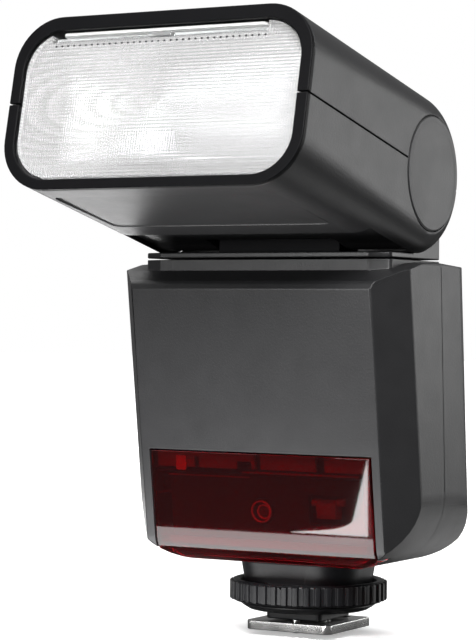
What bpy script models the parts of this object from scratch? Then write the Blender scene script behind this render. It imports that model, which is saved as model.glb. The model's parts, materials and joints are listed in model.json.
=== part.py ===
"""Speedlight flash: a shoe-mounted camera flash whose head tilts and swivels.

Lengths are in millimetres here and become metres when a mesh or a place is made.
The origin is the centre of the shoe plate's underside. The flash faces -Y, +Z is up,
and "left" and "right" are -X and +X. The head is modelled in its own frame, with its
origin on the tilt axis, and then pitched up.
"""

import math

import bmesh
import bpy
from mathutils import Vector

MM = 0.001
GAP = 0.3  # clearance between neighbouring pieces

# Foot: an accessory-shoe plate, with a neck and a lock ring above it.
PLATE_WIDTH = 18.6
PLATE_DEPTH = 18.0
PLATE_THICKNESS = 1.8
WASHER_LOW = 3.9
WASHER_HIGH = 5.2
RING_LOW = 5.5
RING_HIGH = 9.75
RING_RADIUS = 15.6
KNURLS = 44
THREAD_RADIUS = 11.0
NECK_WIDTH = 25.5
NECK_DEPTH = 21.0
STEM_WIDTH = 12.2
STEM_DEPTH = 13.2
LOCK_PIN_Y = -5.0
FOOT_SCREW_X = 8.0
SHOE_SCREW_X = 4.3

# Body: a box that leans forward as it rises, in a front and a rear shell.
BODY_HALF_WIDTH = 31.0
BODY_LOW = 13.8
BODY_WALL = 1.8
PANEL_TOP_Z = 66.7
PANEL_TOP_Y = -25.85
PANEL_LEAN = 0.1405  # how far the panel goes back for each millimetre down
PANEL_HALF_WIDTH = 25.9
CHAMFER_Y = -18.4  # where the chamfer meets the side, at CHAMFER_Z
CHAMFER_Z = 62.7
CHAMFER_LEAN = 0.1405
REAR_Y = 9.05  # the rear face, at CHAMFER_Z
REAR_LEAN = 0.083
REAR_CORNER = 6.0
SEAM_Y = -5.4  # the seam between the shells, at CHAMFER_Z
SEAM_LEAN = 0.0605
BOTTOM_CORNER = 14.5
COLLAR_TOP = 72.5

# Window over the focus lamp, at the foot of the front panel.
WINDOW_TOP = 35.3
WINDOW_HALF_WIDTH = 23.9
WINDOW_BACK_Y = -13.0
WINDOW_THICKNESS = 2.2

# Swivel and tilt.
SWIVEL_Y = -8.0
TILT_Y = -9.7
TILT_Z = 88.8
REST_PITCH = 12.4  # degrees above level
YOKE_LOW = 72.8
YOKE_RAIL_TOP = 73.9
YOKE_REAR_TOP = 77.5
YOKE_FRONT_HALF = 22.7
YOKE_SIDE_HALF = 26.75
YOKE_REACH = 12.5
YOKE_SIDE_REACH = 10.8
TROUGH_RADIUS = 14.7
POST_RADIUS = 6.3
DRUM_RADIUS = 12.2
DRUM_HALF_WIDTH = 13.3
TONGUE_HALF = 4.0
SHAFT_RADIUS = 2.0

# Head, in its own frame.
HEAD_HALF_WIDTH = 30.9
RIM_HALF_HEIGHT = 16.3
RIM_CORNER = 9.5
RIM_Y = -51.75
BARREL_RADIUS = 15.5
BARREL_CORNER = 5.8
HEAD_WALL = 2.1
GROOVE_RADIUS = 14.2
GROOVE_HALF_WIDTH = 27.3
GROOVE_FLOOR = -13.9
GROOVE_FRONT = -16.5
GROOVE_END = 150.0  # degrees round from straight down, by way of the rear
GROOVE_WALL = 1.6
DISC_RADIUS = 10.9
LENS_FRONT = -50.9
LENS_THICKNESS = 1.8
LENS_TOP = 11.4

# Zoom carriage, in the head's frame.
MOUTH_Y = -41.0
REFLECTOR_BACK = -24.0
REFLECTOR_HALF_WIDTH = 22.4
REFLECTOR_HALF_HEIGHT = 9.2
SCREW_X = 24.7
SCREW_Z = -6.3

# Controls, in the rear face's frame, whose origin is on the face at REAR_MIDDLE_Z.
REAR_MIDDLE_Z = 44.0
DISPLAY_Z = 12.4
BUTTON_Z = 0.3
BUTTON_XS = (-15.0, -5.0, 5.0, 15.0)
DIAL_Z = -14.0
DIAL_RADIUS = 10.5
SET_RADIUS = 5.2
SWITCH_X = 18.4
SWITCH_TRAVEL = 3.5

# Battery door and port flap, on the left side.
DOOR_REAR_Y = -1.0
DOOR_LENGTH = 12.4
DOOR_LOW = 31.5
DOOR_HIGH = 66.5
FLAP_LENGTH = 9.0
FLAP_LOW = 26.3
FLAP_HIGH = 30.3

COLOURS = {
    "shell_plastic": ((0.035, 0.035, 0.037), 0.45, 0.0),
    "trim_plastic": ((0.015, 0.015, 0.016), 0.4, 0.0),
    "rubber": ((0.02, 0.02, 0.02), 0.75, 0.0),
    "red_window": ((0.11, 0.004, 0.006), 0.08, 0.0),
    "clear_lens": ((0.85, 0.87, 0.88), 0.12, 0.0),
    "white_panel": ((0.86, 0.86, 0.85), 0.4, 0.0),
    "bright_metal": ((0.74, 0.74, 0.73), 0.28, 1.0),
    "mirror_metal": ((0.92, 0.92, 0.93), 0.08, 1.0),
    "brass": ((0.72, 0.53, 0.2), 0.3, 1.0),
    "glass_tube": ((0.9, 0.92, 0.93), 0.05, 0.0),
    "circuit_board": ((0.02, 0.13, 0.05), 0.5, 0.0),
    "display": ((0.2, 0.24, 0.22), 0.15, 0.0),
    "display_cover": ((0.05, 0.055, 0.055), 0.08, 0.0),
    "cell_wrap": ((0.05, 0.05, 0.07), 0.35, 0.0),
}


# Scene and material helpers


def clear_scene():
    for obj in list(bpy.data.objects):
        bpy.data.objects.remove(obj, do_unlink=True)


def add_collection(name, hidden=False):
    collection = bpy.data.collections.new(name)
    collection.hide_render = hidden
    bpy.context.scene.collection.children.link(collection)
    return collection


def add_material(name):
    colour, roughness, metallic = COLOURS[name]
    material = bpy.data.materials.new(name)
    material.use_nodes = True
    shader = material.node_tree.nodes["Principled BSDF"]
    shader.inputs["Base Color"].default_value = (*colour, 1.0)
    shader.inputs["Roughness"].default_value = roughness
    shader.inputs["Metallic"].default_value = metallic
    material.diffuse_color = (*colour, 1.0)
    return material


clear_scene()
PARTS = add_collection("speedlight_flash")
CUTTERS = add_collection("cutters", hidden=True)
MATERIALS = {name: add_material(name) for name in COLOURS}


def add_frame(name, place, pitch=0.0, parent=None):
    """An empty that pieces are placed on, turned about X by pitch degrees."""
    frame = bpy.data.objects.new(name, None)
    frame.empty_display_size = 5 * MM
    frame.location = Vector(place) * MM
    frame.rotation_euler.x = math.radians(pitch)
    frame.parent = parent
    PARTS.objects.link(frame)
    return frame


def finish(obj, material=None, frame=None, place=(0, 0, 0), smooth=False):
    """Puts a shape among the parts, or among the cutters when it has no material."""
    obj.location = Vector(place) * MM
    obj.parent = frame
    if material:
        PARTS.objects.link(obj)
        obj.data.materials.clear()
        obj.data.materials.append(MATERIALS[material])
    else:
        CUTTERS.objects.link(obj)
        obj.hide_render = True
        obj.display_type = "WIRE"
    if smooth:
        obj.data.shade_smooth()
        obj.data.set_sharp_from_angle(angle=math.radians(35))
    return obj


# Shape helpers. Each takes millimetres, and its options go to finish().


def mesh_object(name, mesh_data):
    mesh = bpy.data.meshes.new(name)
    mesh_data.to_mesh(mesh)
    mesh_data.free()
    return bpy.data.objects.new(name, mesh)


def box(name, low, high, **options):
    low, high = Vector(low), Vector(high)
    cube = bmesh.new()
    bmesh.ops.create_cube(cube, size=1.0)
    bmesh.ops.scale(cube, vec=(high - low) * MM, verts=cube.verts)
    bmesh.ops.translate(cube, vec=(high + low) * MM / 2, verts=cube.verts)
    return finish(mesh_object(name, cube), **options)


def centred_box(name, size, centre=(0, 0, 0), **options):
    half, centre = Vector(size) / 2, Vector(centre)
    return box(name, centre - half, centre + half, **options)


def cylinder(name, radius, start, end, axis="Z", centre=(0, 0), steps=32, top=None, **options):
    """A cylinder or cone from start to end along an axis, centred on the other two."""
    tube = bmesh.new()
    far_radius = radius if top is None else top
    bmesh.ops.create_cone(
        tube, cap_ends=True, segments=steps, depth=(end - start) * MM,
        radius1=radius * MM, radius2=far_radius * MM,
    )
    bmesh.ops.translate(tube, vec=(0, 0, (end + start) / 2 * MM), verts=tube.verts)
    first, second = centre
    for vertex in tube.verts:
        x, y, z = vertex.co
        if axis == "X":
            vertex.co = (z, x + first * MM, y + second * MM)
        elif axis == "Y":
            vertex.co = (y + first * MM, z, x + second * MM)
        else:
            vertex.co = (x + first * MM, y + second * MM, z)
    return finish(mesh_object(name, tube), smooth=True, **options)


def prism(name, outline, low, high, axis="Z", **options):
    """A flat outline made thick along an axis, from low to high.

    The outline is in (y, z) for axis X, in (x, z) for Y and in (x, y) for Z.
    """
    curve = bpy.data.curves.new(name, "CURVE")
    curve.dimensions = "2D"
    curve.fill_mode = "BOTH"
    curve.extrude = (high - low) / 2 * MM
    spline = curve.splines.new("POLY")
    spline.points.add(len(outline) - 1)
    for point, (u, v) in zip(spline.points, outline):
        point.co = (u * MM, v * MM, 0, 1)
    spline.use_cyclic_u = True
    guide = bpy.data.objects.new(name, curve)
    turns = {"X": (math.pi / 2, 0, math.pi / 2), "Y": (math.pi / 2, 0, 0), "Z": (0, 0, 0)}
    guide.rotation_euler = turns[axis]
    guide.location["XYZ".index(axis)] = (low + high) / 2 * MM
    bpy.context.scene.collection.objects.link(guide)
    graph = bpy.context.evaluated_depsgraph_get()
    graph.update()
    mesh = bpy.data.meshes.new_from_object(guide.evaluated_get(graph))
    mesh.transform(guide.matrix_world)
    bpy.data.objects.remove(guide)
    welded = bmesh.new()
    welded.from_mesh(mesh)
    bpy.data.meshes.remove(mesh)
    bmesh.ops.remove_doubles(welded, verts=welded.verts, dist=0.001 * MM)
    bmesh.ops.recalc_face_normals(welded, faces=welded.faces)
    return finish(mesh_object(name, welded), **options)


def loft(name, rings, **options):
    """A solid through rings of equally many points, closed at both ends."""
    skin = bmesh.new()
    rows = [[skin.verts.new(Vector(point) * MM) for point in ring] for ring in rings]
    for row, following in zip(rows, rows[1:]):
        for index in range(len(row)):
            other = (index + 1) % len(row)
            skin.faces.new((row[index], row[other], following[other], following[index]))
    skin.faces.new(rows[0])
    skin.faces.new(rows[-1])
    bmesh.ops.recalc_face_normals(skin, faces=skin.faces)
    return finish(mesh_object(name, skin), **options)


def turned(name, profile, steps=48, **options):
    """A shape turned about Z. The (radius, height) profile runs down its outer side."""
    mesh = bpy.data.meshes.new(name)
    points = [(radius * MM, 0, height * MM) for radius, height in profile]
    edges = [(index, index + 1) for index in range(len(points) - 1)]
    if profile[0][0] > 0:
        edges.append((len(points) - 1, 0))
    mesh.from_pydata(points, edges, [])
    obj = bpy.data.objects.new(name, mesh)
    screw = obj.modifiers.new("turn", "SCREW")
    screw.steps = steps
    screw.render_steps = steps
    screw.use_merge_vertices = True
    screw.merge_threshold = 0.0001 * MM
    screw.use_smooth_shade = False
    return finish(obj, **options)


def combine(obj, operation, *others):
    for other in others:
        modifier = obj.modifiers.new(other.name, "BOOLEAN")
        modifier.operation = operation
        modifier.solver = "EXACT"
        modifier.object = other
    return obj


def cut(obj, *others):
    return combine(obj, "DIFFERENCE", *others)


def unite(obj, *others):
    return combine(obj, "UNION", *others)


def overlap_of(obj, *others):
    return combine(obj, "INTERSECT", *others)


# Outlines


def arc(centre, radius, start, end, steps):
    """Points round an arc, in degrees from the first axis towards the second."""
    angles = [math.radians(start + (end - start) * step / steps) for step in range(steps + 1)]
    return [
        (centre[0] + radius * math.cos(angle), centre[1] + radius * math.sin(angle))
        for angle in angles
    ]


def filleted(corners, steps=4):
    """A polygon of (x, y, radius) corners, each rounded to its radius."""
    points = []
    for index, (x, y, radius) in enumerate(corners):
        corner = Vector((x, y))
        if radius == 0:
            points.append((x, y))
            continue
        before = (Vector(corners[index - 1][:2]) - corner).normalized()
        after = (Vector(corners[(index + 1) % len(corners)][:2]) - corner).normalized()
        half_angle = before.angle(after) / 2
        reach = radius / math.tan(half_angle)
        middle = corner + (before + after).normalized() * radius / math.sin(half_angle)
        start = corner + before * reach - middle
        end = corner + after * reach - middle
        for step in range(steps + 1):
            share = step / steps
            spoke = (start * (1 - share) + end * share).normalized() * radius
            points.append(tuple(middle + spoke))
    return points


def rounded_rectangle(half_width, half_height, radius, steps=4):
    corners = [(-1, -1), (1, -1), (1, 1), (-1, 1)]
    return filleted([(x * half_width, y * half_height, radius) for x, y in corners], steps)


def moved_inward(corners, distance):
    """Convex anticlockwise (x, y, radius) corners with every side moved inward."""
    points = [Vector(corner[:2]) for corner in corners]
    moved = []
    for index, point in enumerate(points):
        arriving = (point - points[index - 1]).normalized()
        leaving = (points[(index + 1) % len(points)] - point).normalized()
        first = Vector((-arriving.y, arriving.x))
        second = Vector((-leaving.y, leaving.x))
        x, y = point + (first + second) * distance / (1 + first.dot(second))
        moved.append((x, y, max(corners[index][2] - distance, 0)))
    return moved


def octagon(half_front, half_side, reach, side_reach, centre_y):
    quarter = [(half_front, -reach), (half_side, -side_reach)]
    right = quarter + [(x, -y) for x, y in reversed(quarter)]
    left = [(-x, y) for x, y in reversed(right)]
    return [(x, y + centre_y) for x, y in right + left]


# Body


def panel_y(z):
    return PANEL_TOP_Y + (PANEL_TOP_Z - z) * PANEL_LEAN


def rear_y(z):
    return REAR_Y + (CHAMFER_Z - z) * REAR_LEAN


def body_plan(z, inset):
    """The body's outline at a height, with its front corners chamfered."""
    chamfer = CHAMFER_Y + (CHAMFER_Z - z) * CHAMFER_LEAN
    front, rear = panel_y(z), rear_y(z)
    corners = [
        (-PANEL_HALF_WIDTH, front, 0), (PANEL_HALF_WIDTH, front, 0),
        (BODY_HALF_WIDTH, chamfer, 0), (BODY_HALF_WIDTH, rear, REAR_CORNER),
        (-BODY_HALF_WIDTH, rear, REAR_CORNER), (-BODY_HALF_WIDTH, chamfer, 0),
    ]
    return [(x, y, z) for x, y in filleted(moved_inward(corners, inset))]


def body_side(inset):
    """The body's outline from the side, in (y, z)."""
    corners = [
        (-18.3, BODY_LOW, 5.5), (12.9, BODY_LOW, 5.0), (rear_y(71.3), 71.3, 3.0),
        (2.4, 71.5, 0), (-8.0, 72.1, 0), (-14.0, 71.7, 0), (-20.5, 70.3, 0),
        (-25.3, 68.2, 1.6), (PANEL_TOP_Y, PANEL_TOP_Z, 0),
    ]
    return filleted(moved_inward(corners, inset))


def body_front(inset):
    """The body's outline from the front, in (x, z)."""
    corners = [
        (-BODY_HALF_WIDTH, BODY_LOW, BOTTOM_CORNER), (BODY_HALF_WIDTH, BODY_LOW, BOTTOM_CORNER),
        (BODY_HALF_WIDTH, 73.0, 1.9), (-BODY_HALF_WIDTH, 73.0, 1.9),
    ]
    return filleted(moved_inward(corners, inset), 6)


def body_form(name, inset, material=None):
    """The body as a solid, with every face moved inward by inset."""
    form = loft(name, [body_plan(z, inset) for z in (10.0, 76.0)], material=material)
    side = prism(name + "_side", body_side(inset), -40, 40, "X")
    front = prism(name + "_front", body_front(inset), -40, 40, "Y")
    return overlap_of(form, side, front)


def seam_cutter(name, side):
    """A block that holds all in front of the seam (side -1) or behind it (side 1)."""
    low, high = sorted((-side * GAP / 2, side * 60))
    seam_at_foot = SEAM_Y + CHAMFER_Z * SEAM_LEAN
    tool = box(name, (-50, low, -20), (50, high, 100), place=(0, seam_at_foot, 0))
    tool.rotation_euler.x = math.atan(SEAM_LEAN)
    return tool


def collar(name):
    outline = octagon(
        YOKE_FRONT_HALF, YOKE_SIDE_HALF, YOKE_REACH, YOKE_SIDE_REACH, SWIVEL_Y
    )
    return prism(name, outline, 67.0, COLLAR_TOP)


def side_openings():
    """Cutters for the battery door and the port flap."""
    skin = -BODY_HALF_WIDTH
    door = box(
        "door_opening", (skin - 2, DOOR_REAR_Y - DOOR_LENGTH - GAP, DOOR_LOW - GAP),
        (skin + 4, DOOR_REAR_Y + GAP, DOOR_HIGH + GAP),
    )
    flap = box(
        "flap_opening", (skin - 2, -FLAP_LENGTH - GAP, FLAP_LOW - GAP),
        (skin + 4, GAP, FLAP_HIGH + GAP),
    )
    return door, flap


def build_body_shells(rear_frame):
    cavity = body_form("body_cavity", BODY_WALL)
    top_hole = cylinder("post_hole", POST_RADIUS + GAP, 60, 80, centre=(0, SWIVEL_Y))
    openings = side_openings()
    front = body_form("front_shell", 0, "shell_plastic")
    unite(front, collar("front_collar"))
    window_gap = box(
        "window_opening", (-WINDOW_HALF_WIDTH - GAP, -40, 0),
        (WINDOW_HALF_WIDTH + GAP, WINDOW_BACK_Y + GAP, WINDOW_TOP + GAP),
    )
    cut(front, cavity, seam_cutter("behind_seam", 1), top_hole, window_gap, *openings)
    rear = body_form("rear_shell", 0, "shell_plastic")
    unite(rear, collar("rear_collar"))
    foot_holes = [
        cylinder("foot_hole_" + side, 1.3, 10, 20, centre=(x, 0), steps=16)
        for side, x in (("left", -FOOT_SCREW_X), ("right", FOOT_SCREW_X))
    ]
    cut(rear, cavity, seam_cutter("before_seam", -1), top_hole, *openings, *foot_holes)
    cut(rear, *rear_openings(rear_frame))


def rear_openings(frame):
    """Cutters through the rear face for the display, the keys and the screws."""
    at = {"frame": frame}
    cutters = [
        centred_box("display_pocket", (40.6, 2.4, 19.1), (0, 0, DISPLAY_Z), **at),
        centred_box("display_opening", (36.6, 8, 15.4), (0, 0, DISPLAY_Z), **at),
        cylinder("dial_opening", DIAL_RADIUS + GAP, -5, 3, "Y", (0, DIAL_Z), 48, **at),
        centred_box(
            "switch_opening", (4.6, 8, 6.1 + SWITCH_TRAVEL),
            (SWITCH_X, 0, DIAL_Z - 2 + SWITCH_TRAVEL / 2), **at,
        ),
        cylinder("test_opening", 2.9, -5, 3, "Y", (-SWITCH_X, DIAL_Z), 24, **at),
    ]
    for index, x in enumerate(BUTTON_XS, 1):
        key = centred_box(f"key_opening_{index}", (8.0, 8, 4.0), (x, 0, BUTTON_Z), **at)
        cutters.append(key)
    for index, (x, z) in enumerate(case_screw_places(), 1):
        cutters.append(cylinder(f"screw_hole_{index}", 1.6, -5, 3, "Y", (x, z), 16, **at))
        cutters.append(cylinder(f"screw_pocket_{index}", 2.3, -1.1, 3, "Y", (x, z), 16, **at))
    return cutters


def case_screw_places():
    return [(-22.8, 21.0), (22.8, 21.0), (-22.0, -22.5), (22.0, -22.5)]


def build_window():
    window = body_form("focus_window", 0, "red_window")
    back = body_form("window_back", WINDOW_THICKNESS)
    region = box(
        "window_region", (-WINDOW_HALF_WIDTH, -40, 0),
        (WINDOW_HALF_WIDTH, WINDOW_BACK_Y, WINDOW_TOP),
    )
    cut(window, back)
    overlap_of(window, region)


def build_window_parts(front_frame):
    """The focus lamp and the sensor behind the window, in the front panel's frame."""
    at = {"frame": front_frame}
    mask = centred_box("window_mask", (42, 1.2, 12.5), (0, 3.3, -1), material="trim_plastic", **at)
    lamp_hole = cylinder("lamp_hole", 2.5, 0, 6, "Y", (-0.5, -1.5), 24, **at)
    sensor_hole = cylinder("sensor_hole", 2.3, 0, 6, "Y", (13.5, -1.5), 24, **at)
    cut(mask, lamp_hole, sensor_hole)
    cylinder(
        "focus_lamp_lens", 2.1, 2.8, 5.4, "Y", (-0.5, -1.5), 24,
        material="clear_lens", **at,
    )
    cylinder("focus_lamp", 2.4, 5.7, 9.6, "Y", (-0.5, -1.5), 20, material="trim_plastic", **at)
    centred_box(
        "light_sensor", (3.0, 3.6, 3.0), (13.5, 5.0, -1.5), material="glass_tube", **at
    )


def build_inside():
    """Battery, capacitor and boards."""
    box("battery_pack", (-28.6, -13.1, 31.8), (-11.2, -1.3, 66.2), material="cell_wrap")
    box("battery_contacts", (-10.8, -12.0, 37.0), (-9.2, -2.6, 60.0), material="brass")
    cylinder(
        "main_capacitor", 8.0, -7.0, 27.0, "X", (-9.6, 47.5), 32, material="cell_wrap"
    )
    box("main_board", (-8.4, -0.9, 24.0), (28.0, 0.6, 61.0), material="circuit_board")
    box("port_socket", (-29.0, -7.6, 26.7), (-23.4, -1.2, 29.9), material="bright_metal")


def build_side_pieces():
    skin = -BODY_HALF_WIDTH
    middle = (DOOR_LOW + DOOR_HIGH) / 2
    half = (DOOR_HIGH - DOOR_LOW) / 2
    box(
        "battery_door", (0, -DOOR_LENGTH, -half), (1.6, 0, half),
        material="shell_plastic", place=(skin, DOOR_REAR_Y, middle),
    )
    middle = (FLAP_LOW + FLAP_HIGH) / 2
    half = (FLAP_HIGH - FLAP_LOW) / 2
    box(
        "port_flap", (0, -FLAP_LENGTH, -half), (1.4, 0, half),
        material="rubber", place=(skin, 0, middle),
    )


# Rear controls, in the rear face's frame: y is outward, and 0 is the face itself


def build_display(frame):
    at = {"frame": frame}
    centred_box(
        "display_cover", (40, 0.9, 18.5), (0, -0.5, DISPLAY_Z), material="display_cover", **at
    )
    centred_box("display", (36, 2.4, 14.8), (0, -3.4, DISPLAY_Z), material="display", **at)
    centred_box("control_board", (40, 1.4, 46), (0, -5.8, -1), material="circuit_board", **at)


def build_keys(frame):
    """Four keys, each with a flange that holds it behind the shell."""
    for index, x in enumerate(BUTTON_XS, 1):
        key = box(
            f"menu_button_{index}", (-3.7, -3.2, -1.7), (3.7, 0.7, 1.7),
            material="rubber", frame=frame, place=(x, 0, BUTTON_Z),
        )
        flange = box(
            f"menu_flange_{index}", (-4.4, -3.2, -2.2), (4.4, -2.2, 2.2),
            frame=frame, place=(x, 0, BUTTON_Z),
        )
        unite(key, flange)


def build_dial(frame):
    at = {"frame": frame, "place": (0, 0, DIAL_Z)}
    ridges = 36
    rim = []
    for step in range(ridges * 2):
        angle = math.pi * step / ridges
        radius = DIAL_RADIUS - 0.35 * (step % 2)
        rim.append((radius * math.cos(angle), radius * math.sin(angle)))
    dial = prism("select_dial", rim, -1.9, 1.3, "Y", material="trim_plastic", **at)
    flange = cylinder("dial_flange", DIAL_RADIUS + 0.8, -3.4, -2.2, "Y", steps=48, **at)
    hub = cylinder("dial_hub", DIAL_RADIUS - 1.0, -3.0, 0.5, "Y", steps=48, **at)
    bore = cylinder("dial_bore", SET_RADIUS + GAP, -6, 6, "Y", steps=32, **at)
    unite(dial, hub, flange)
    cut(dial, bore)
    cylinder("set_button", SET_RADIUS, -3.4, 0.9, "Y", steps=32, material="trim_plastic", **at)


def build_switches(frame):
    at = {"frame": frame, "place": (SWITCH_X, 0, DIAL_Z - 2)}
    switch = box(
        "power_switch", (-2.0, -3.4, -2.75), (2.0, 1.0, 2.75), material="trim_plastic", **at
    )
    unite(switch, box("switch_flange", (-2.9, -3.4, -3.4), (2.9, -2.2, 3.4), **at))
    at = {"frame": frame, "place": (-SWITCH_X, 0, DIAL_Z)}
    test = cylinder(
        "test_button", 2.6, -3.4, 0.8, "Y", steps=24, material="trim_plastic", **at
    )
    unite(test, cylinder("test_flange", 3.3, -3.4, -2.2, "Y", steps=24, **at))


def build_case_screws(frame):
    for index, (x, z) in enumerate(case_screw_places(), 1):
        screw = cylinder(
            f"case_screw_{index}", 1.25, -6.0, -0.6, "Y", steps=12,
            material="bright_metal", frame=frame, place=(x, 0, z),
        )
        head = cylinder(
            f"case_screw_head_{index}", 2.0, -0.95, -0.15, "Y", steps=16,
            frame=frame, place=(x, 0, z),
        )
        unite(screw, head)


# Foot


def build_neck():
    neck = prism(
        "foot_neck", rounded_rectangle(NECK_WIDTH / 2, NECK_DEPTH / 2, 8.0),
        RING_HIGH + GAP, BODY_LOW - GAP, material="trim_plastic",
    )
    thread = cylinder("neck_thread", THREAD_RADIUS, WASHER_HIGH + GAP, RING_HIGH + 1, steps=48)
    stem = prism(
        "neck_stem", rounded_rectangle(STEM_WIDTH / 2, STEM_DEPTH / 2, 1.2),
        PLATE_THICKNESS + GAP, WASHER_HIGH + 1,
    )
    unite(neck, thread, stem)
    pin_bore = cylinder("pin_bore", 1.1, 0, 9.6, centre=(0, LOCK_PIN_Y), steps=16)
    bores = [
        cylinder(f"neck_bore_{index}", 1.3, 9.9, 15, centre=(x, 0), steps=16)
        for index, x in enumerate((-FOOT_SCREW_X, FOOT_SCREW_X), 1)
    ]
    shoe_bores = [
        cylinder(f"shoe_bore_{index}", 1.0, 1, 6.2, centre=(x, 0), steps=12)
        for index, x in enumerate((-SHOE_SCREW_X, SHOE_SCREW_X), 1)
    ]
    cut(neck, pin_bore, *bores, *shoe_bores)


def build_foot_clamp():
    """The plate inside the body, and the two screws that pull the neck up to it."""
    clamp = box("foot_clamp", (-11, -1.6, 15.9), (11, 7.5, 17.2), material="bright_metal")
    for side, x in (("left", -FOOT_SCREW_X), ("right", FOOT_SCREW_X)):
        cut(clamp, cylinder("clamp_hole_" + side, 1.3, 14, 20, centre=(x, 0), steps=16))
        screw = cylinder(
            "foot_screw_" + side, 1.0, 10.3, 17.8, centre=(x, 0), steps=12,
            material="bright_metal",
        )
        unite(screw, cylinder("foot_screw_head_" + side, 1.5, 17.5, 18.7, centre=(x, 0), steps=16))


def build_shoe_plate():
    half_width, half_depth = PLATE_WIDTH / 2, PLATE_DEPTH / 2
    plate = prism(
        "shoe_plate", filleted([
            (-half_width, -half_depth, 1.2), (half_width, -half_depth, 1.2),
            (half_width, half_depth, 0.6), (-half_width, half_depth, 0.6),
        ], 3), 0, PLATE_THICKNESS, material="bright_metal",
    )
    cut(plate, box("contact_window", (-5.8, 2.4, -1), (5.8, 7.2, 3)))
    cut(plate, cylinder("plate_pin_hole", 1.1, -1, 3, centre=(0, LOCK_PIN_Y), steps=16))
    block = box("contact_block", (-5.5, 2.7, 0.0), (5.5, 6.9, 1.6), material="trim_plastic")
    cut(block, box("contact_groove", (-4.7, 3.9, -1), (4.7, 5.8, 1.0)))
    strip = box("shoe_contacts", (-4.4, 4.2, 0.4), (4.4, 5.5, 0.7), material="brass")
    for index, x in enumerate((-3.6, -1.2, 1.2, 3.6), 1):
        unite(strip, box(f"contact_pad_{index}", (x - 0.6, 4.3, 0.1), (x + 0.6, 5.4, 0.5)))
    for side, x in (("left", -SHOE_SCREW_X), ("right", SHOE_SCREW_X)):
        cut(plate, cylinder(
            "countersink_" + side, 1.9, -0.1, 1.9, centre=(x, 0), top=1.0, steps=20
        ))
        screw = cylinder("shoe_screw_" + side, 0.65, 0.8, 5.6, centre=(x, 0), steps=12,
                         material="bright_metal")
        unite(screw, cylinder(
            "shoe_screw_head_" + side, 1.5, 0.1, 1.4, centre=(x, 0), top=0.65, steps=20
        ))


def build_lock():
    """The knurled ring, the cone under it that clamps the shoe, and the lock pin."""
    teeth = []
    for step in range(KNURLS * 2):
        angle = math.pi * step / KNURLS
        radius = RING_RADIUS - 0.7 * (step % 2)
        teeth.append((radius * math.cos(angle), radius * math.sin(angle)))
    ring = prism("lock_ring", teeth, RING_LOW, RING_HIGH, material="trim_plastic")
    cut(ring, cylinder("ring_bore", THREAD_RADIUS + 0.4, 0, 12, steps=48))
    turned(
        "clamp_washer",
        [(13.4, WASHER_HIGH), (13.4, WASHER_HIGH - 0.4), (11.4, WASHER_LOW),
         (10.4, WASHER_LOW), (10.4, WASHER_HIGH)],
        material="trim_plastic",
    )
    cylinder(
        "lock_pin", 0.8, -0.6, 8.2, steps=16, material="bright_metal",
        place=(0, LOCK_PIN_Y, 0),
    )


# Yoke


def build_yoke(frame):
    """The yoke and its nut, in a frame on the swivel axis with its origin at the floor."""
    at = {"frame": frame}
    tilt_axis = (TILT_Y - SWIVEL_Y, TILT_Z)
    plan = octagon(YOKE_FRONT_HALF, YOKE_SIDE_HALF, YOKE_REACH, YOKE_SIDE_REACH, 0)
    yoke = prism("swivel_yoke", plan, YOKE_LOW, YOKE_REAR_TOP, material="trim_plastic", **at)
    trough = cylinder("trough", TROUGH_RADIUS, -40, 40, "X", tilt_axis, 64, **at)
    front_space = box(
        "front_space", (-40, -40, YOKE_RAIL_TOP), (40, tilt_axis[0] + 0.5, 90), **at
    )
    cut(yoke, trough, front_space)
    tongue = box(
        "tongue", (-DRUM_HALF_WIDTH, tilt_axis[0] - TONGUE_HALF, YOKE_LOW + 0.3),
        (DRUM_HALF_WIDTH, tilt_axis[0] + TONGUE_HALF, 80), **at,
    )
    drum = cylinder(
        "drum", DRUM_RADIUS, -DRUM_HALF_WIDTH, DRUM_HALF_WIDTH, "X", tilt_axis, 48, **at
    )
    post = cylinder("post", POST_RADIUS, 63.5, YOKE_LOW + 0.5, **at)
    unite(yoke, tongue, drum, post)
    shaft_bore = cylinder("drum_bore", SHAFT_RADIUS + GAP, -40, 40, "X", tilt_axis, 24, **at)
    wire_bore = cylinder("wire_bore", 3.4, 50, 72.0, steps=24, **at)
    cut(yoke, shaft_bore, wire_bore)
    nut = cylinder("swivel_nut", 9.0, 66.0, 68.7, steps=8, material="bright_metal", **at)
    cut(nut, cylinder("nut_bore", POST_RADIUS + GAP, 60, 75, **at))


# Head, in its own frame


def half_section(half_width, half_height, corner):
    """The upper half of a rounded rectangle, from its left edge to its right, in (x, z)."""
    right = arc((half_width - corner, half_height - corner), corner, 0, 90, 6)
    left = [(-x, z) for x, z in right]
    return [(-half_width, 0)] + left + list(reversed(right)) + [(half_width, 0)]


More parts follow.
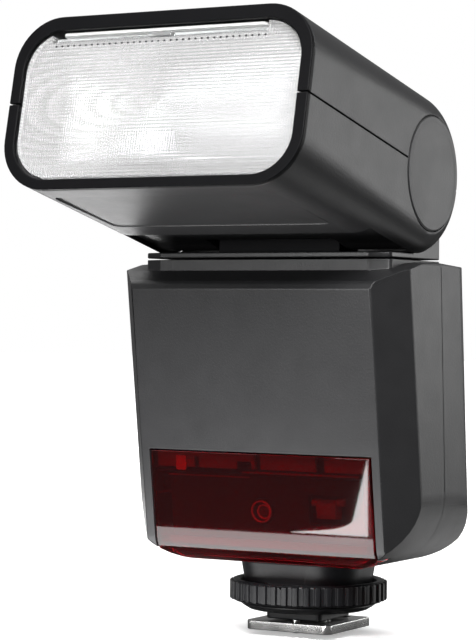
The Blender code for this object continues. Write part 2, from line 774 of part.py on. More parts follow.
def head_form(name, inset, front, **options):
    """The head as a solid: a rounded box that ends in a barrel about the tilt axis."""
    stations = []
    for y in sorted({front, RIM_Y, -34.5, -17.25, 0.0}):
        share = min(1.0, y / RIM_Y)
        height = BARREL_RADIUS + (RIM_HALF_HEIGHT - BARREL_RADIUS) * share - inset
        corner = BARREL_CORNER + (RIM_CORNER - BARREL_CORNER) * share - inset
        section = half_section(HEAD_HALF_WIDTH - inset, height, corner)
        stations.append([(x, y, z) for x, z in section])
    section = [(x, z) for x, _, z in stations[-1]]
    below = [[(x, y, -z) for x, y, z in station] for station in reversed(stations)]
    for step in range(1, 18):
        angle = math.pi * step / 18
        barrel = [(x, z * math.sin(angle), z * math.cos(angle)) for x, z in section]
        stations.append(barrel)
    skin = bmesh.new()
    rows = [[skin.verts.new(Vector(point) * MM) for point in row] for row in stations + below]
    for row, following in zip(rows, rows[1:]):
        for index in range(len(row) - 1):
            corners = (row[index], row[index + 1], following[index + 1], following[index])
            skin.faces.new(corners)
    bmesh.ops.remove_doubles(skin, verts=skin.verts, dist=0.001 * MM)
    rim = [edge for edge in skin.edges if edge.is_boundary]
    bmesh.ops.holes_fill(skin, edges=rim)
    bmesh.ops.recalc_face_normals(skin, faces=skin.faces)
    return finish(mesh_object(name, skin), **options)


def turned_from_down(radius, degrees):
    """A point (y, z) at an angle from straight down, by way of the rear."""
    angle = math.radians(degrees)
    return radius * math.sin(angle), -radius * math.cos(angle)


def groove_outline(wall):
    """The space in which the yoke runs, in (y, z), made larger by wall."""
    radius = GROOVE_RADIUS - wall
    floor = GROOVE_FLOOR + wall
    front = GROOVE_FRONT - wall
    start = -math.degrees(math.acos(-floor / radius))
    end = GROOVE_END + math.degrees(wall / radius)
    inner = [
        turned_from_down(radius, start + (end - start) * step / 30) for step in range(31)
    ]
    outer = [turned_from_down(22, end + (20 - end) * step / 8) for step in range(9)]
    return [(front, floor)] + inner + outer + [(front, -22)]


def slot_outline():
    """The slot in the shells that the yoke's tongue passes through, in (y, z)."""
    reach = math.degrees(math.asin(TONGUE_HALF / DRUM_RADIUS)) + 2
    start, end = -reach, 90 + reach
    sweep = [turned_from_down(24, start + (end - start) * step / 8) for step in range(9)]
    return [(0, 0)] + sweep


def build_head_shells(frame):
    at = {"frame": frame}
    cavity = head_form("head_cavity", HEAD_WALL, RIM_Y - 5, **at)
    cut(cavity, prism("groove_wall", groove_outline(GROOVE_WALL), -40, 40, "X", **at))
    groove = prism(
        "groove", groove_outline(0), -GROOVE_HALF_WIDTH, GROOVE_HALF_WIDTH, "X", **at
    )
    slot_half = DRUM_HALF_WIDTH + 0.6
    slot = prism("tongue_slot", slot_outline(), -slot_half, slot_half, "X", **at)
    pockets = [
        cylinder(f"disc_pocket_{side}", DISC_RADIUS + GAP, *ends, "X", steps=48, **at)
        for side, ends in (("left", (-35, -29.9)), ("right", (29.9, 35)))
    ]
    above = box("above_seam", (-40, -70, -GAP / 2), (40, 30, 40), **at)
    below = box("below_seam", (-40, -70, -40), (40, 30, GAP / 2), **at)
    upper = head_form("head_upper_shell", 0, RIM_Y, material="shell_plastic", **at)
    cut(upper, cavity, below, groove, slot, *pockets)
    lower = head_form("head_lower_shell", 0, RIM_Y, material="shell_plastic", **at)
    cut(lower, cavity, above, groove, slot, *pockets)


def build_tilt_parts(frame):
    at = {"frame": frame}
    cylinder("tilt_shaft", SHAFT_RADIUS, -27.8, 27.8, "X", steps=24,
             material="bright_metal", **at)
    for side, sign in (("left", -1), ("right", 1)):
        ends = sorted((sign * 30.2, sign * 31.0))
        cylinder(
            "tilt_cap_" + side, DISC_RADIUS, *ends, "X", steps=48,
            material="shell_plastic", **at,
        )
        ends = sorted((sign * 24.6, sign * 26.2))
        bracket = cylinder(
            "tilt_bracket_" + side, 7.0, *ends, "X", steps=24, material="bright_metal", **at
        )
        bore = cylinder("bracket_bore_" + side, SHAFT_RADIUS + GAP, -40, 40, "X", steps=24, **at)
        cut(bracket, bore)


def build_lens_and_panels(frame):
    at = {"frame": frame}
    half_width = HEAD_HALF_WIDTH - HEAD_WALL - GAP
    low = -(RIM_HALF_HEIGHT - HEAD_WALL - GAP)
    corner = RIM_CORNER - HEAD_WALL
    outline = filleted([
        (-half_width, low, corner), (half_width, low, corner),
        (half_width, LENS_TOP, 4.8), (-half_width, LENS_TOP, 4.8),
    ], 6)
    prism(
        "fresnel_lens", outline, LENS_FRONT, LENS_FRONT + LENS_THICKNESS, "Y",
        material="clear_lens", **at,
    )
    box("panel_tray", (-24.4, -48.7, 10.6), (24.4, -18.5, 11.4), material="trim_plastic", **at)
    box("wide_panel", (-23.4, -49.9, 11.75), (23.4, -18.5, 12.45), material="clear_lens", **at)
    box("catchlight_panel", (-20.9, -50.3, 12.8), (20.9, -18.5, 13.4),
        material="white_panel", **at)


def reflector_outline(offset):
    """A parabola in (y, z), open towards the front, with its walls moved out by offset."""
    depth = REFLECTOR_BACK - MOUTH_Y
    points = []
    for step in range(13):
        z = REFLECTOR_HALF_HEIGHT * (1 - step / 6)
        y = REFLECTOR_BACK - depth * (z / REFLECTOR_HALF_HEIGHT) ** 2
        points.append((y + offset, z * (1 + offset / REFLECTOR_HALF_HEIGHT)))
    front = MOUTH_Y + (0 if offset else -3)
    return [(front, points[0][1])] + points + [(front, points[-1][1])]


def build_zoom(frame):
    at = {"frame": frame}
    wall = 0.7
    reflector = prism(
        "reflector", reflector_outline(wall), -REFLECTOR_HALF_WIDTH, REFLECTOR_HALF_WIDTH, "X",
        material="mirror_metal", **at,
    )
    hollow_half = REFLECTOR_HALF_WIDTH - wall
    cut(
        reflector,
        prism("reflector_hollow", reflector_outline(0), -hollow_half, hollow_half, "X", **at),
        cylinder("tube_hole", 2.1, -40, 40, "X", (-28.2, 0), 20, **at),
    )
    cylinder("flash_tube", 1.7, -24.0, 24.0, "X", (-28.2, 0), 20, material="glass_tube", **at)
    carriage = box(
        "zoom_carriage", (-22, -22.9, -8.0), (22, -21.4, 8.0), material="trim_plastic", **at
    )
    lugs = box("carriage_lugs", (-27.2, -22.9, -8.6), (27.2, -21.4, -4.0), **at)
    unite(carriage, lugs)
    cut(
        carriage,
        cylinder("screw_clearance", 1.3, -60, 0, "Y", (SCREW_X, SCREW_Z), 16, **at),
        cylinder("rod_clearance", 1.3, -60, 0, "Y", (-SCREW_X, SCREW_Z), 16, **at),
    )
    cylinder(
        "zoom_screw", 0.95, -31.0, -17.6, "Y", (0, 0), 12, material="bright_metal",
        frame=frame, place=(SCREW_X, 0, SCREW_Z),
    )
    cylinder("guide_rod", 0.95, -31.0, -17.6, "Y", (-SCREW_X, SCREW_Z), 12,
             material="bright_metal", **at)
    cylinder("zoom_motor", 3.3, -17.2, -8.2, "Y", (SCREW_X - 0.4, SCREW_Z), 24,
             material="bright_metal", **at)


def build():
    rear_pitch = math.degrees(math.atan(REAR_LEAN))
    front_pitch = math.degrees(math.atan(PANEL_LEAN))
    rear_frame = add_frame("rear_face", (0, rear_y(REAR_MIDDLE_Z), REAR_MIDDLE_Z), rear_pitch)
    lamp_z = 25.5
    front_frame = add_frame("front_face", (0, panel_y(lamp_z), lamp_z), front_pitch)
    swivel_frame = add_frame("head_swivel_axis", (0, SWIVEL_Y, 0))
    head_frame = add_frame(
        "head_tilt_axis", (0, TILT_Y - SWIVEL_Y, TILT_Z), -REST_PITCH, parent=swivel_frame
    )
    build_body_shells(rear_frame)
    build_window()
    build_window_parts(front_frame)
    build_inside()
    build_side_pieces()
    build_display(rear_frame)
    build_keys(rear_frame)
    build_dial(rear_frame)
    build_switches(rear_frame)
    build_case_screws(rear_frame)
    build_neck()
    build_foot_clamp()
    build_shoe_plate()
    build_lock()
    build_yoke(swivel_frame)
    build_head_shells(head_frame)
    build_tilt_parts(head_frame)
    build_lens_and_panels(head_frame)
    build_zoom(head_frame)


build()
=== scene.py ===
"""Speedlight flash: the finished look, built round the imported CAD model.

Lengths are in millimetres here and become metres when a mesh is made. Pieces of the head
are modelled in the head's own frame (forward is -Y, origin on the tilt axis), keys and
dial in the rear face's frame, and then turned into place.
"""

import json
import math

import bmesh
import bpy
from mathutils import Matrix, Vector


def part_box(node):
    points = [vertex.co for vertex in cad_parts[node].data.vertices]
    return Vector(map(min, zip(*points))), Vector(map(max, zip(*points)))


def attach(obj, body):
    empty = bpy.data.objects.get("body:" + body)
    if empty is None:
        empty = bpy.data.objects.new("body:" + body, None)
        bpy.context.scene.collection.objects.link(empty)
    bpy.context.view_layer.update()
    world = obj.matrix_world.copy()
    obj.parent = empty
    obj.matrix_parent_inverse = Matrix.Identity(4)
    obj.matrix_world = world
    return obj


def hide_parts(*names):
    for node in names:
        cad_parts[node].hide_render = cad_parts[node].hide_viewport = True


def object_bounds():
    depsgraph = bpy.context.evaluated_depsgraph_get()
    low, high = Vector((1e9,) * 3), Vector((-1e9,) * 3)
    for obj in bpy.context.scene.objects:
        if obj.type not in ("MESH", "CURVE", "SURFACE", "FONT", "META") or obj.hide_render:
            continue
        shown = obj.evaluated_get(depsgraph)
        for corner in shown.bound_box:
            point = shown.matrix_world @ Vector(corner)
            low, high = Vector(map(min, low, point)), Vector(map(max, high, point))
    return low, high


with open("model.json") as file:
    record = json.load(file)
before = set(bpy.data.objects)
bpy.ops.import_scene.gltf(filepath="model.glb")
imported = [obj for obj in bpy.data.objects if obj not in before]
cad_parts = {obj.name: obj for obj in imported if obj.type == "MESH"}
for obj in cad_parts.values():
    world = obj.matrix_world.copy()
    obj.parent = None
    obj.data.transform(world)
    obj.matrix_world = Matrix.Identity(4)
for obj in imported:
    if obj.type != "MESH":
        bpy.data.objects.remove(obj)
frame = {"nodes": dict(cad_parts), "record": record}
CAD_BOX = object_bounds()
MM = 0.001
RECORD = frame["record"]
JOINTS = {joint["name"]: joint for joint in RECORD["behaviour"]["joints"]}
SLOTS = {entry["node"]: entry["material_slot"] for entry in RECORD["subparts"]}
BODY_OF = {
    node: body for body, nodes in RECORD["behaviour"]["bodies"].items() for node in nodes
}


def lowest(node):
    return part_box(node)[0] / MM


def highest(node):
    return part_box(node)[1] / MM


# Frames, from the CAD model's joints and boxes

GAP = 0.3
TILT_AXIS = Vector(JOINTS["head_tilt"]["pos_m"]) / MM
HEAD_PITCH = math.asin(JOINTS["wide_panel_slide"]["axis"][2])
REAR_PITCH = math.asin(JOINTS["select_dial_turn"]["axis"][2])
DIAL_CENTRE = Vector(JOINTS["select_dial_turn"]["pos_m"]) / MM
SWIVEL_Y = JOINTS["head_swivel"]["pos_m"][1] / MM
WORLD = Matrix.Identity(4)
HEAD = Matrix.Translation(TILT_AXIS * MM) @ Matrix.Rotation(-HEAD_PITCH, 4, "X")
DIAL = Matrix.Translation(DIAL_CENTRE * MM) @ Matrix.Rotation(REAR_PITCH, 4, "X")
SEAM_Y = -5.4
SEAM_LEAN = 0.0605
SEAM_WIDTH = 0.5
SEAM = Matrix.Translation((0, (SEAM_Y + 62.7 * SEAM_LEAN) * MM, 0)) @ Matrix.Rotation(
    math.atan(SEAM_LEAN), 4, "X")
STOOD_FOR = set()

# Body

BODY_HALF_WIDTH = highest("rear_shell")[0]
BODY_LOW = lowest("rear_shell")[2]
BODY_WALL = 1.8
PANEL_TOP_Z = 66.7
PANEL_TOP_Y = -25.85
PANEL_LEAN = 0.1405
PANEL_HALF_WIDTH = 25.9
CHAMFER_Y = -18.4
CHAMFER_Z = 62.7
REAR_Y = 9.05
REAR_LEAN = math.tan(REAR_PITCH)
REAR_CORNER = 6.0
BOTTOM_CORNER = 14.5
COLLAR_TOP = highest("rear_shell")[2]
WINDOW_TOP = highest("focus_window")[2]
WINDOW_HALF_WIDTH = highest("focus_window")[0]
WINDOW_BACK_Y = -13.0
WINDOW_THICKNESS = 1.6
LAMP_Z = 25.5
LAMP_Y = PANEL_TOP_Y + (PANEL_TOP_Z - LAMP_Z) * PANEL_LEAN
FRONT = Matrix.Translation((0, LAMP_Y * MM, LAMP_Z * MM)) @ Matrix.Rotation(
    math.atan(PANEL_LEAN), 4, "X")

# Head

HEAD_HALF_WIDTH = highest("head_upper_shell")[0]
RIM_HALF_HEIGHT = 16.3
RIM_CORNER = 9.5
RIM_Y = -51.75
BARREL_RADIUS = 15.5
BARREL_CORNER = 5.8
HEAD_WALL = 2.1
GROOVE_RADIUS = 14.2
GROOVE_HALF_WIDTH = 27.3
GROOVE_FLOOR = -13.9
GROOVE_FRONT = -16.5
GROOVE_END = 150.0
GROOVE_WALL = 1.6
DISC_RADIUS = 10.9
DRUM_HALF_WIDTH = 13.3
DRUM_RADIUS = 12.2
TONGUE_HALF = 4.0
RIM_DEPTH = 1.0
LENS_FRONT = -50.9
LENS_TOP = 11.4
MOUTH_Y = -41.0
REFLECTOR_BACK = -24.0
REFLECTOR_HALF_WIDTH = 22.4
REFLECTOR_HALF_HEIGHT = 9.2
TUBE_PLACE = (0, -28.2, 0)

# Foot, side pieces, and rear controls in the dial's frame

PIN_PLACE = (0, -5, 0)
SHOE_SCREW_X = 4.3
DOOR_CENTRE = (-7.2, 49)
SOCKET_CENTRE = (-4.4, 28.3)
DISPLAY_Z = 26.4
KEY_PLACES = ((-15, 14.3), (-5, 14.3), (5, 14.3), (15, 14.3))
TEST_PLACE = (-18.4, 0, 0)
CASE_SCREWS = ((-22.8, 35.0), (22.8, 35.0), (-22.0, -8.5), (22.0, -8.5))


# Mesh helpers


def linked(name, data):
    obj = bpy.data.objects.new(name, data)
    bpy.context.scene.collection.objects.link(obj)
    return obj


def loose(name, mesh_data, matrix=WORLD):
    """An object made from a bmesh, with the matrix taken into its points."""
    mesh = bpy.data.meshes.new(name)
    mesh_data.to_mesh(mesh)
    mesh_data.free()
    mesh.transform(matrix)
    return linked(name, mesh)


def settled(obj):
    """Applies the object's modifiers to its mesh."""
    graph = bpy.context.evaluated_depsgraph_get()
    graph.update()
    mesh = bpy.data.meshes.new_from_object(obj.evaluated_get(graph))
    obj.modifiers.clear()
    obj.data = mesh
    return obj


def combine(obj, operation, others, keep=()):
    """Booleans the others into obj, and removes them."""
    for other in others:
        modifier = obj.modifiers.new(other.name, "BOOLEAN")
        modifier.operation = operation
        modifier.solver = "EXACT"
        modifier.object = other
    settled(obj)
    for other in others:
        if other not in keep:
            bpy.data.objects.remove(other)
    return obj


def cut(obj, *others, keep=()):
    return combine(obj, "DIFFERENCE", others, keep)


def unite(obj, *others):
    return combine(obj, "UNION", others)


def overlap_of(obj, *others, keep=()):
    return combine(obj, "INTERSECT", others, keep)


def box(name, low, high, matrix=WORLD):
    low, high = Vector(low), Vector(high)
    cube = bmesh.new()
    bmesh.ops.create_cube(cube, size=1.0)
    bmesh.ops.scale(cube, vec=(high - low) * MM, verts=cube.verts)
    bmesh.ops.translate(cube, vec=(high + low) * MM / 2, verts=cube.verts)
    return loose(name, cube, matrix)


AXES = {
    "X": Matrix(((0, 0, 1, 0), (1, 0, 0, 0), (0, 1, 0, 0), (0, 0, 0, 1))),
    "Y": Matrix(((0, 1, 0, 0), (0, 0, 1, 0), (1, 0, 0, 0), (0, 0, 0, 1))),
    "Z": WORLD,
}


def cylinder(name, radius, start, end, axis="Z", centre=(0, 0, 0), steps=64, matrix=WORLD):
    tube = bmesh.new()
    bmesh.ops.create_cone(
        tube, cap_ends=True, segments=steps, depth=(end - start) * MM,
        radius1=radius * MM, radius2=radius * MM,
    )
    bmesh.ops.translate(tube, vec=(0, 0, (end + start) / 2 * MM), verts=tube.verts)
    place = Matrix.Translation(Vector(centre) * MM)
    return loose(name, tube, matrix @ place @ AXES[axis])


def turned(name, profile, axis="Z", centre=(0, 0, 0), steps=96, matrix=WORLD):
    """A closed (radius, height) profile turned about an axis."""
    skin = bmesh.new()
    rows = []
    for step in range(steps):
        angle = 2 * math.pi * step / steps
        rows.append([
            skin.verts.new((r * math.cos(angle) * MM, r * math.sin(angle) * MM, h * MM))
            for r, h in profile
        ])
    count = len(profile)
    for step in range(steps):
        row, following = rows[step], rows[(step + 1) % steps]
        for index in range(count):
            other = (index + 1) % count
            skin.faces.new((row[index], following[index], following[other], row[other]))
    bmesh.ops.remove_doubles(skin, verts=skin.verts, dist=0.0005 * MM)
    bmesh.ops.recalc_face_normals(skin, faces=skin.faces)
    place = Matrix.Translation(Vector(centre) * MM)
    return loose(name, skin, matrix @ place @ AXES[axis])


def prism(name, outline, low, high, axis="Z", matrix=WORLD):
    """An outline made thick: (y, z) points for axis X, (x, z) for Y, (x, y) for Z."""
    solid = bmesh.new()
    verts = []
    for u, v in outline:
        spot = {"X": (low, u, v), "Y": (u, low, v), "Z": (u, v, low)}[axis]
        verts.append(solid.verts.new(Vector(spot) * MM))
    face = solid.faces.new(verts)
    grown = bmesh.ops.extrude_face_region(solid, geom=[face])
    move = {"X": (1, 0, 0), "Y": (0, 1, 0), "Z": (0, 0, 1)}[axis]
    ends = [item for item in grown["geom"] if isinstance(item, bmesh.types.BMVert)]
    bmesh.ops.translate(solid, vec=Vector(move) * (high - low) * MM, verts=ends)
    bmesh.ops.recalc_face_normals(solid, faces=solid.faces)
    return loose(name, solid, matrix)


def bars(name, places, low, high, matrix=WORLD):
    """Flat blocks on a face, low to high in y: (x, z, half width, half height) for each."""
    solid = bmesh.new()
    for x, z, half_x, half_z in places:
        size = Matrix.Diagonal((2 * half_x * MM, (high - low) * MM, 2 * half_z * MM, 1))
        spot = Matrix.Translation(Vector((x, (low + high) / 2, z)) * MM)
        bmesh.ops.create_cube(solid, size=1.0, matrix=spot @ size)
    return loose(name, solid, matrix)


def loft(name, rings, matrix=WORLD):
    skin = bmesh.new()
    rows = [[skin.verts.new(Vector(point) * MM) for point in ring] for ring in rings]
    for row, following in zip(rows, rows[1:]):
        for index in range(len(row)):
            other = (index + 1) % len(row)
            skin.faces.new((row[index], row[other], following[other], following[index]))
    skin.faces.new(rows[0])
    skin.faces.new(rows[-1])
    bmesh.ops.recalc_face_normals(skin, faces=skin.faces)
    return loose(name, skin, matrix)


def bevelled(obj, width, segments, angle):
    """Adds a bevel modifier for the edges sharper than angle."""
    modifier = obj.modifiers.new("edges", "BEVEL")
    modifier.width = width * MM
    modifier.segments = segments
    modifier.limit_method = "ANGLE"
    modifier.angle_limit = math.radians(angle)
    return modifier


def smooth(obj, bevel=0.0, segments=3, angle=30):
    """Smooth shading, with a geometric bevel on edges sharper than angle."""
    if bevel:
        modifier = bevelled(obj, bevel, segments, angle)
        modifier.use_clamp_overlap = False
        modifier.miter_outer = "MITER_ARC"
        settled(obj)
    obj.data.shade_smooth()
    obj.data.set_sharp_from_angle(angle=math.radians(angle + 5))
    level = obj.modifiers.new("level", "WEIGHTED_NORMAL")
    level.weight = 80
    level.keep_sharp = True
    return settled(obj)


def tidy_faces(obj):
    """Joins the flat faces that a Boolean left in pieces."""
    mesh = bmesh.new()
    mesh.from_mesh(obj.data)
    bmesh.ops.remove_doubles(mesh, verts=mesh.verts, dist=0.002 * MM)
    bmesh.ops.dissolve_limit(
        mesh, angle_limit=math.radians(0.3), verts=mesh.verts, edges=mesh.edges
    )
    mesh.to_mesh(obj.data)
    mesh.free()
    return obj


def clean(obj, bevel=0.0, segments=3):
    return smooth(tidy_faces(obj), bevel, segments)


def add_to(obj, material, node):
    """A piece that rides with a node's body in the given material, and replaces nothing."""
    obj.data.materials.clear()
    obj.data.materials.append(MATERIALS[material])
    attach(obj, BODY_OF[node])
    return obj


def stand_for(obj, material, *nodes):
    """The object rides with the first node's body in the given material, and replaces all of
    them.
    """
    add_to(obj, material, nodes[0])
    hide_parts(*nodes)
    STOOD_FOR.update(nodes)
    return obj


# Outlines


def filleted(corners, steps=6):
    """A polygon of (x, y, radius) corners, each rounded to its radius."""
    points = []
    for index, (x, y, radius) in enumerate(corners):
        corner = Vector((x, y))
        if radius == 0:
            points.append((x, y))
            continue
        before = (Vector(corners[index - 1][:2]) - corner).normalized()
        after = (Vector(corners[(index + 1) % len(corners)][:2]) - corner).normalized()
        half_angle = before.angle(after) / 2
        reach = radius / math.tan(half_angle)
        middle = corner + (before + after).normalized() * radius / math.sin(half_angle)
        start = corner + before * reach - middle
        end = corner + after * reach - middle
        for step in range(steps + 1):
            share = step / steps
            spoke = (start * (1 - share) + end * share).normalized() * radius
            points.append(tuple(middle + spoke))
    return points


def rounded(half_width, half_height, radius, steps=8, centre=(0, 0)):
    corners = [(-1, -1), (1, -1), (1, 1), (-1, 1)]
    return filleted(
        [(x * half_width + centre[0], y * half_height + centre[1], radius) for x, y in corners],
        steps,
    )


def moved_inward(corners, distance):
    """Convex anticlockwise (x, y, radius) corners with every side moved inward."""
    points = [Vector(corner[:2]) for corner in corners]
    moved = []
    for index, point in enumerate(points):
        arriving = (point - points[index - 1]).normalized()
        leaving = (points[(index + 1) % len(points)] - point).normalized()
        first = Vector((-arriving.y, arriving.x))
        second = Vector((-leaving.y, leaving.x))
        x, y = point + (first + second) * distance / (1 + first.dot(second))
        moved.append((x, y, max(corners[index][2] - distance, 0)))
    return moved


# Materials

MOTTLE_SCALE = 240.0  # waves to a metre
GRAIN_SCALE = 2600.0
GROOVE_SHADE = 0.42
LENS_GROOVE_PITCH = 0.62
RED_LIGHT = (0.55, 0.04, 0.05)
CLEAR_LIGHT = (0.9, 0.9, 0.9)
MATERIALS = {}


def wire(tree, node, inputs):
    """Sets a node's inputs; one that is given another node's output is linked to it."""
    for socket, value in inputs.items():
        if isinstance(value, bpy.types.NodeSocket):
            tree.links.new(value, node.inputs[socket])
        else:
            node.inputs[socket].default_value = value


def output_of(tree, kind, output, inputs=None, **settings):
    """The named output of a new shader node."""
    node = tree.nodes.new("ShaderNode" + kind)
    for setting, value in settings.items():
        setattr(node, setting, value)
    wire(tree, node, inputs or {})
    return node.outputs[output]


def new_material(name, colour, roughness, metallic=0.0, grain=0.0, mottle=0.0, wear=0.0,
                 transmission=0.0, ior=1.5, edge=0.15, specular=0.5):
    """A Principled material with grain, a slight mottle and softened edges.

    grain is the strength of a fine bump. mottle varies the roughness and the colour over a
    few millimetres. edge is the radius that edges are softened to, in millimetres, and wear
    lightens them: it works on a mottled material.
    """
    material = bpy.data.materials.new(name)
    material.use_nodes = True
    tree = material.node_tree
    shader = tree.nodes["Principled BSDF"]
    wire(tree, shader, {
        "Base Color": (*colour, 1), "Roughness": roughness, "Metallic": metallic,
        "Specular IOR Level": specular, "Transmission Weight": transmission, "IOR": ior,
    })
    place = output_of(tree, "TexCoord", "Object")
    if mottle:
        cloud = output_of(tree, "TexNoise", "Fac", {
            "Vector": place, "Scale": MOTTLE_SCALE, "Detail": 5.0})
        base = output_of(tree, "MixRGB", "Color", {
            "Fac": cloud, "Color1": (*[c * 0.88 for c in colour], 1),
            "Color2": (*[c * 1.12 for c in colour], 1)})
        wire(tree, shader, {"Base Color": base, "Roughness": output_of(
            tree, "MapRange", "Result", {
                "Value": cloud, "To Min": max(roughness - mottle, 0.02),
                "To Max": roughness + mottle})})
    normal = None
    if edge:
        normal = output_of(tree, "Bevel", "Normal", {"Radius": edge * MM}, samples=4)
    if edge and wear:
        match = output_of(tree, "VectorMath", "Value", {
            0: normal, 1: output_of(tree, "NewGeometry", "Normal")}, operation="DOT_PRODUCT")
        rub = output_of(tree, "MapRange", "Result", {
            "Value": match, "From Min": 0.998, "From Max": 0.93, "To Max": wear})
        wire(tree, shader, {"Base Color": output_of(tree, "MixRGB", "Color", {
            "Fac": rub, "Color1": base, "Color2": (*[c * 1.6 + 0.03 for c in colour], 1)})})
    if grain:
        speckle = output_of(tree, "TexNoise", "Fac", {
            "Vector": place, "Scale": GRAIN_SCALE, "Detail": 3.0})
        bump = {"Height": speckle, "Strength": grain, "Distance": 0.08 * MM}
        if normal:
            bump["Normal"] = normal
        normal = output_of(tree, "Bump", "Normal", bump)
    if normal:
        wire(tree, shader, {"Normal": normal})
    return material


def let_light_in(material, colour):
    """Lets lamps shine through a clear piece, tinted by colour, instead of stopping at it."""
    tree = material.node_tree
    mix = output_of(tree, "MixShader", "Shader", {
        "Fac": output_of(tree, "LightPath", "Is Shadow Ray"),
        1: tree.nodes["Principled BSDF"].outputs["BSDF"],
        2: output_of(tree, "BsdfTransparent", "BSDF", {"Color": (*colour, 1)})})
    wire(tree, tree.nodes["Material Output"], {"Surface": mix})


def add_grooves(material, pitch):
    """Crossed fine grooves on a lens, in the plane of its face: painted shade lines and a bump.
    """
    tree = material.node_tree
    tilt = output_of(tree, "Mapping", "Vector", {
        "Vector": tree.nodes["Texture Coordinate"].outputs["Object"],
        "Rotation": (HEAD_PITCH, 0, 0)})
    waves = [
        output_of(tree, "TexWave", "Fac", {
            "Vector": tilt, "Scale": share * 2 * math.pi / (20 * pitch * MM),
        }, bands_direction=direction)
        for direction, share in (("X", 1.25), ("Z", 1.0))
    ]
    sheet = output_of(tree, "Math", "Value", {0: waves[0], 1: waves[1]}, operation="ADD")
    # The base colour darkens to GROOVE_SHADE along the grooves: painted shade.
    wire(tree, tree.nodes["Principled BSDF"], {
        "Base Color": output_of(tree, "MapRange", "Result", {
            "Value": sheet, "From Max": 2.0, "To Min": GROOVE_SHADE}),
        "Normal": output_of(tree, "Bump", "Normal", {
            "Height": sheet, "Strength": 0.25, "Distance": 0.1 * MM}),
    })


LOOKS = {
    "shell": ((0.016, 0.016, 0.017), 0.42, dict(grain=0.35, mottle=0.05, wear=0.25)),
    "rim": ((0.003, 0.003, 0.0035), 0.45, dict(grain=0.15, mottle=0.04, wear=0.1, specular=0.08)),
    "trim": ((0.012, 0.012, 0.013), 0.34, dict(grain=0.2, mottle=0.05, wear=0.3)),
    "rubber": ((0.020, 0.020, 0.021), 0.62, dict(grain=0.6, mottle=0.08)),
    "red_window": ((0.20, 0.001, 0.004), 0.03, dict(transmission=0.98, ior=1.49, edge=0.0)),
    "lens": ((0.97, 0.98, 0.98), 0.1, dict(transmission=0.78, ior=1.3, edge=0.0)),
    "clear": ((0.93, 0.95, 0.95), 0.08, dict(transmission=0.8, ior=1.4)),
    "white": ((0.88, 0.88, 0.87), 0.35, dict(mottle=0.04)),
    "steel": ((0.76, 0.76, 0.75), 0.24, dict(metallic=1.0, mottle=0.07, grain=0.1, wear=0.4)),
    "mirror": ((0.93, 0.93, 0.94), 0.16, dict(metallic=1.0, mottle=0.05, edge=0.0)),
    "screw": ((0.09, 0.09, 0.095), 0.32, dict(metallic=1.0, mottle=0.07, wear=0.5)),
    "brass": ((0.80, 0.58, 0.22), 0.25, dict(metallic=1.0, mottle=0.06)),
    "glass": ((0.95, 0.96, 0.96), 0.04, dict(transmission=0.9, edge=0.0)),
    "board": ((0.015, 0.10, 0.04), 0.45, dict(mottle=0.1, edge=0.0)),
    "display": ((0.23, 0.27, 0.25), 0.25, dict(mottle=0.04, edge=0.0)),
    "cover": ((0.80, 0.84, 0.83), 0.04, dict(transmission=0.95, ior=1.45, edge=0.0)),
    "segment": ((0.10, 0.12, 0.11), 0.3, dict(mottle=0.04, edge=0.0)),
    "ledge": ((0.26, 0.24, 0.24), 0.4, dict(mottle=0.06)),
    "facet": ((0.30, 0.30, 0.31), 0.2, dict(mottle=0.05, edge=0.0)),
    "cell": ((0.03, 0.03, 0.05), 0.3, dict(mottle=0.06)),
    # Near black with no gloss, for the tongue in the body's seam: painted shade of the seam's
    # gap.
    "gap": ((0.001, 0.001, 0.001), 0.9, dict(mottle=0.1, edge=0.0, specular=0.0)),
    # Near black: the lens dots and the display border in their own colour, and the yoke's drum as
    # painted shade.
    "dark": ((0.003, 0.003, 0.004), 0.55, dict(mottle=0.05, specular=0.1)),
    "print": ((0.78, 0.78, 0.78), 0.5, dict(mottle=0.04, edge=0.0)),
    "foot": ((0.006, 0.006, 0.007), 0.36, dict(grain=0.2, mottle=0.05, wear=0.2, specular=0.25)),
}


def make_materials():
    for name, (colour, roughness, look) in LOOKS.items():
        MATERIALS[name] = new_material(name, colour, roughness, **look)
    add_grooves(MATERIALS["lens"], LENS_GROOVE_PITCH)
    for name in ("red_window", "lens", "clear", "glass", "cover"):
        let_light_in(MATERIALS[name], RED_LIGHT if name == "red_window" else CLEAR_LIGHT)


# Body


def panel_y(z):
    return PANEL_TOP_Y + (PANEL_TOP_Z - z) * PANEL_LEAN


def rear_y(z):
    return REAR_Y + (CHAMFER_Z - z) * REAR_LEAN


def body_plan(z, inset):
    chamfer = CHAMFER_Y + (CHAMFER_Z - z) * PANEL_LEAN
    front, rear = panel_y(z), rear_y(z)
    corners = [
        (-PANEL_HALF_WIDTH, front, 0.9), (PANEL_HALF_WIDTH, front, 0.9),
        (BODY_HALF_WIDTH, chamfer, 1.3), (BODY_HALF_WIDTH, rear, REAR_CORNER),
        (-BODY_HALF_WIDTH, rear, REAR_CORNER), (-BODY_HALF_WIDTH, chamfer, 1.3),
    ]
    moved = moved_inward(corners, inset)
    for index, corner in enumerate(moved):
        moved[index] = (corner[0], corner[1], max(corner[2], 0.2))
    return [(x, y, z) for x, y in filleted(moved, 8)]


def body_side(inset):
    corners = [
        (-18.3, BODY_LOW, 5.5), (12.9, BODY_LOW, 5.0), (rear_y(71.3), 71.3, 3.0),
        (2.4, 71.5, 0), (-8.0, 72.1, 0), (-14.0, 71.7, 0), (-20.5, 70.3, 0),
        (-25.3, 68.2, 1.6), (PANEL_TOP_Y, PANEL_TOP_Z, 0.8),
    ]
    return filleted(moved_inward(corners, inset), 10)


def body_front(inset):
    corners = [
        (-BODY_HALF_WIDTH, BODY_LOW, BOTTOM_CORNER), (BODY_HALF_WIDTH, BODY_LOW, BOTTOM_CORNER),
        (BODY_HALF_WIDTH, 73.0, 1.9), (-BODY_HALF_WIDTH, 73.0, 1.9),
    ]
    return filleted(moved_inward(corners, inset), 14)


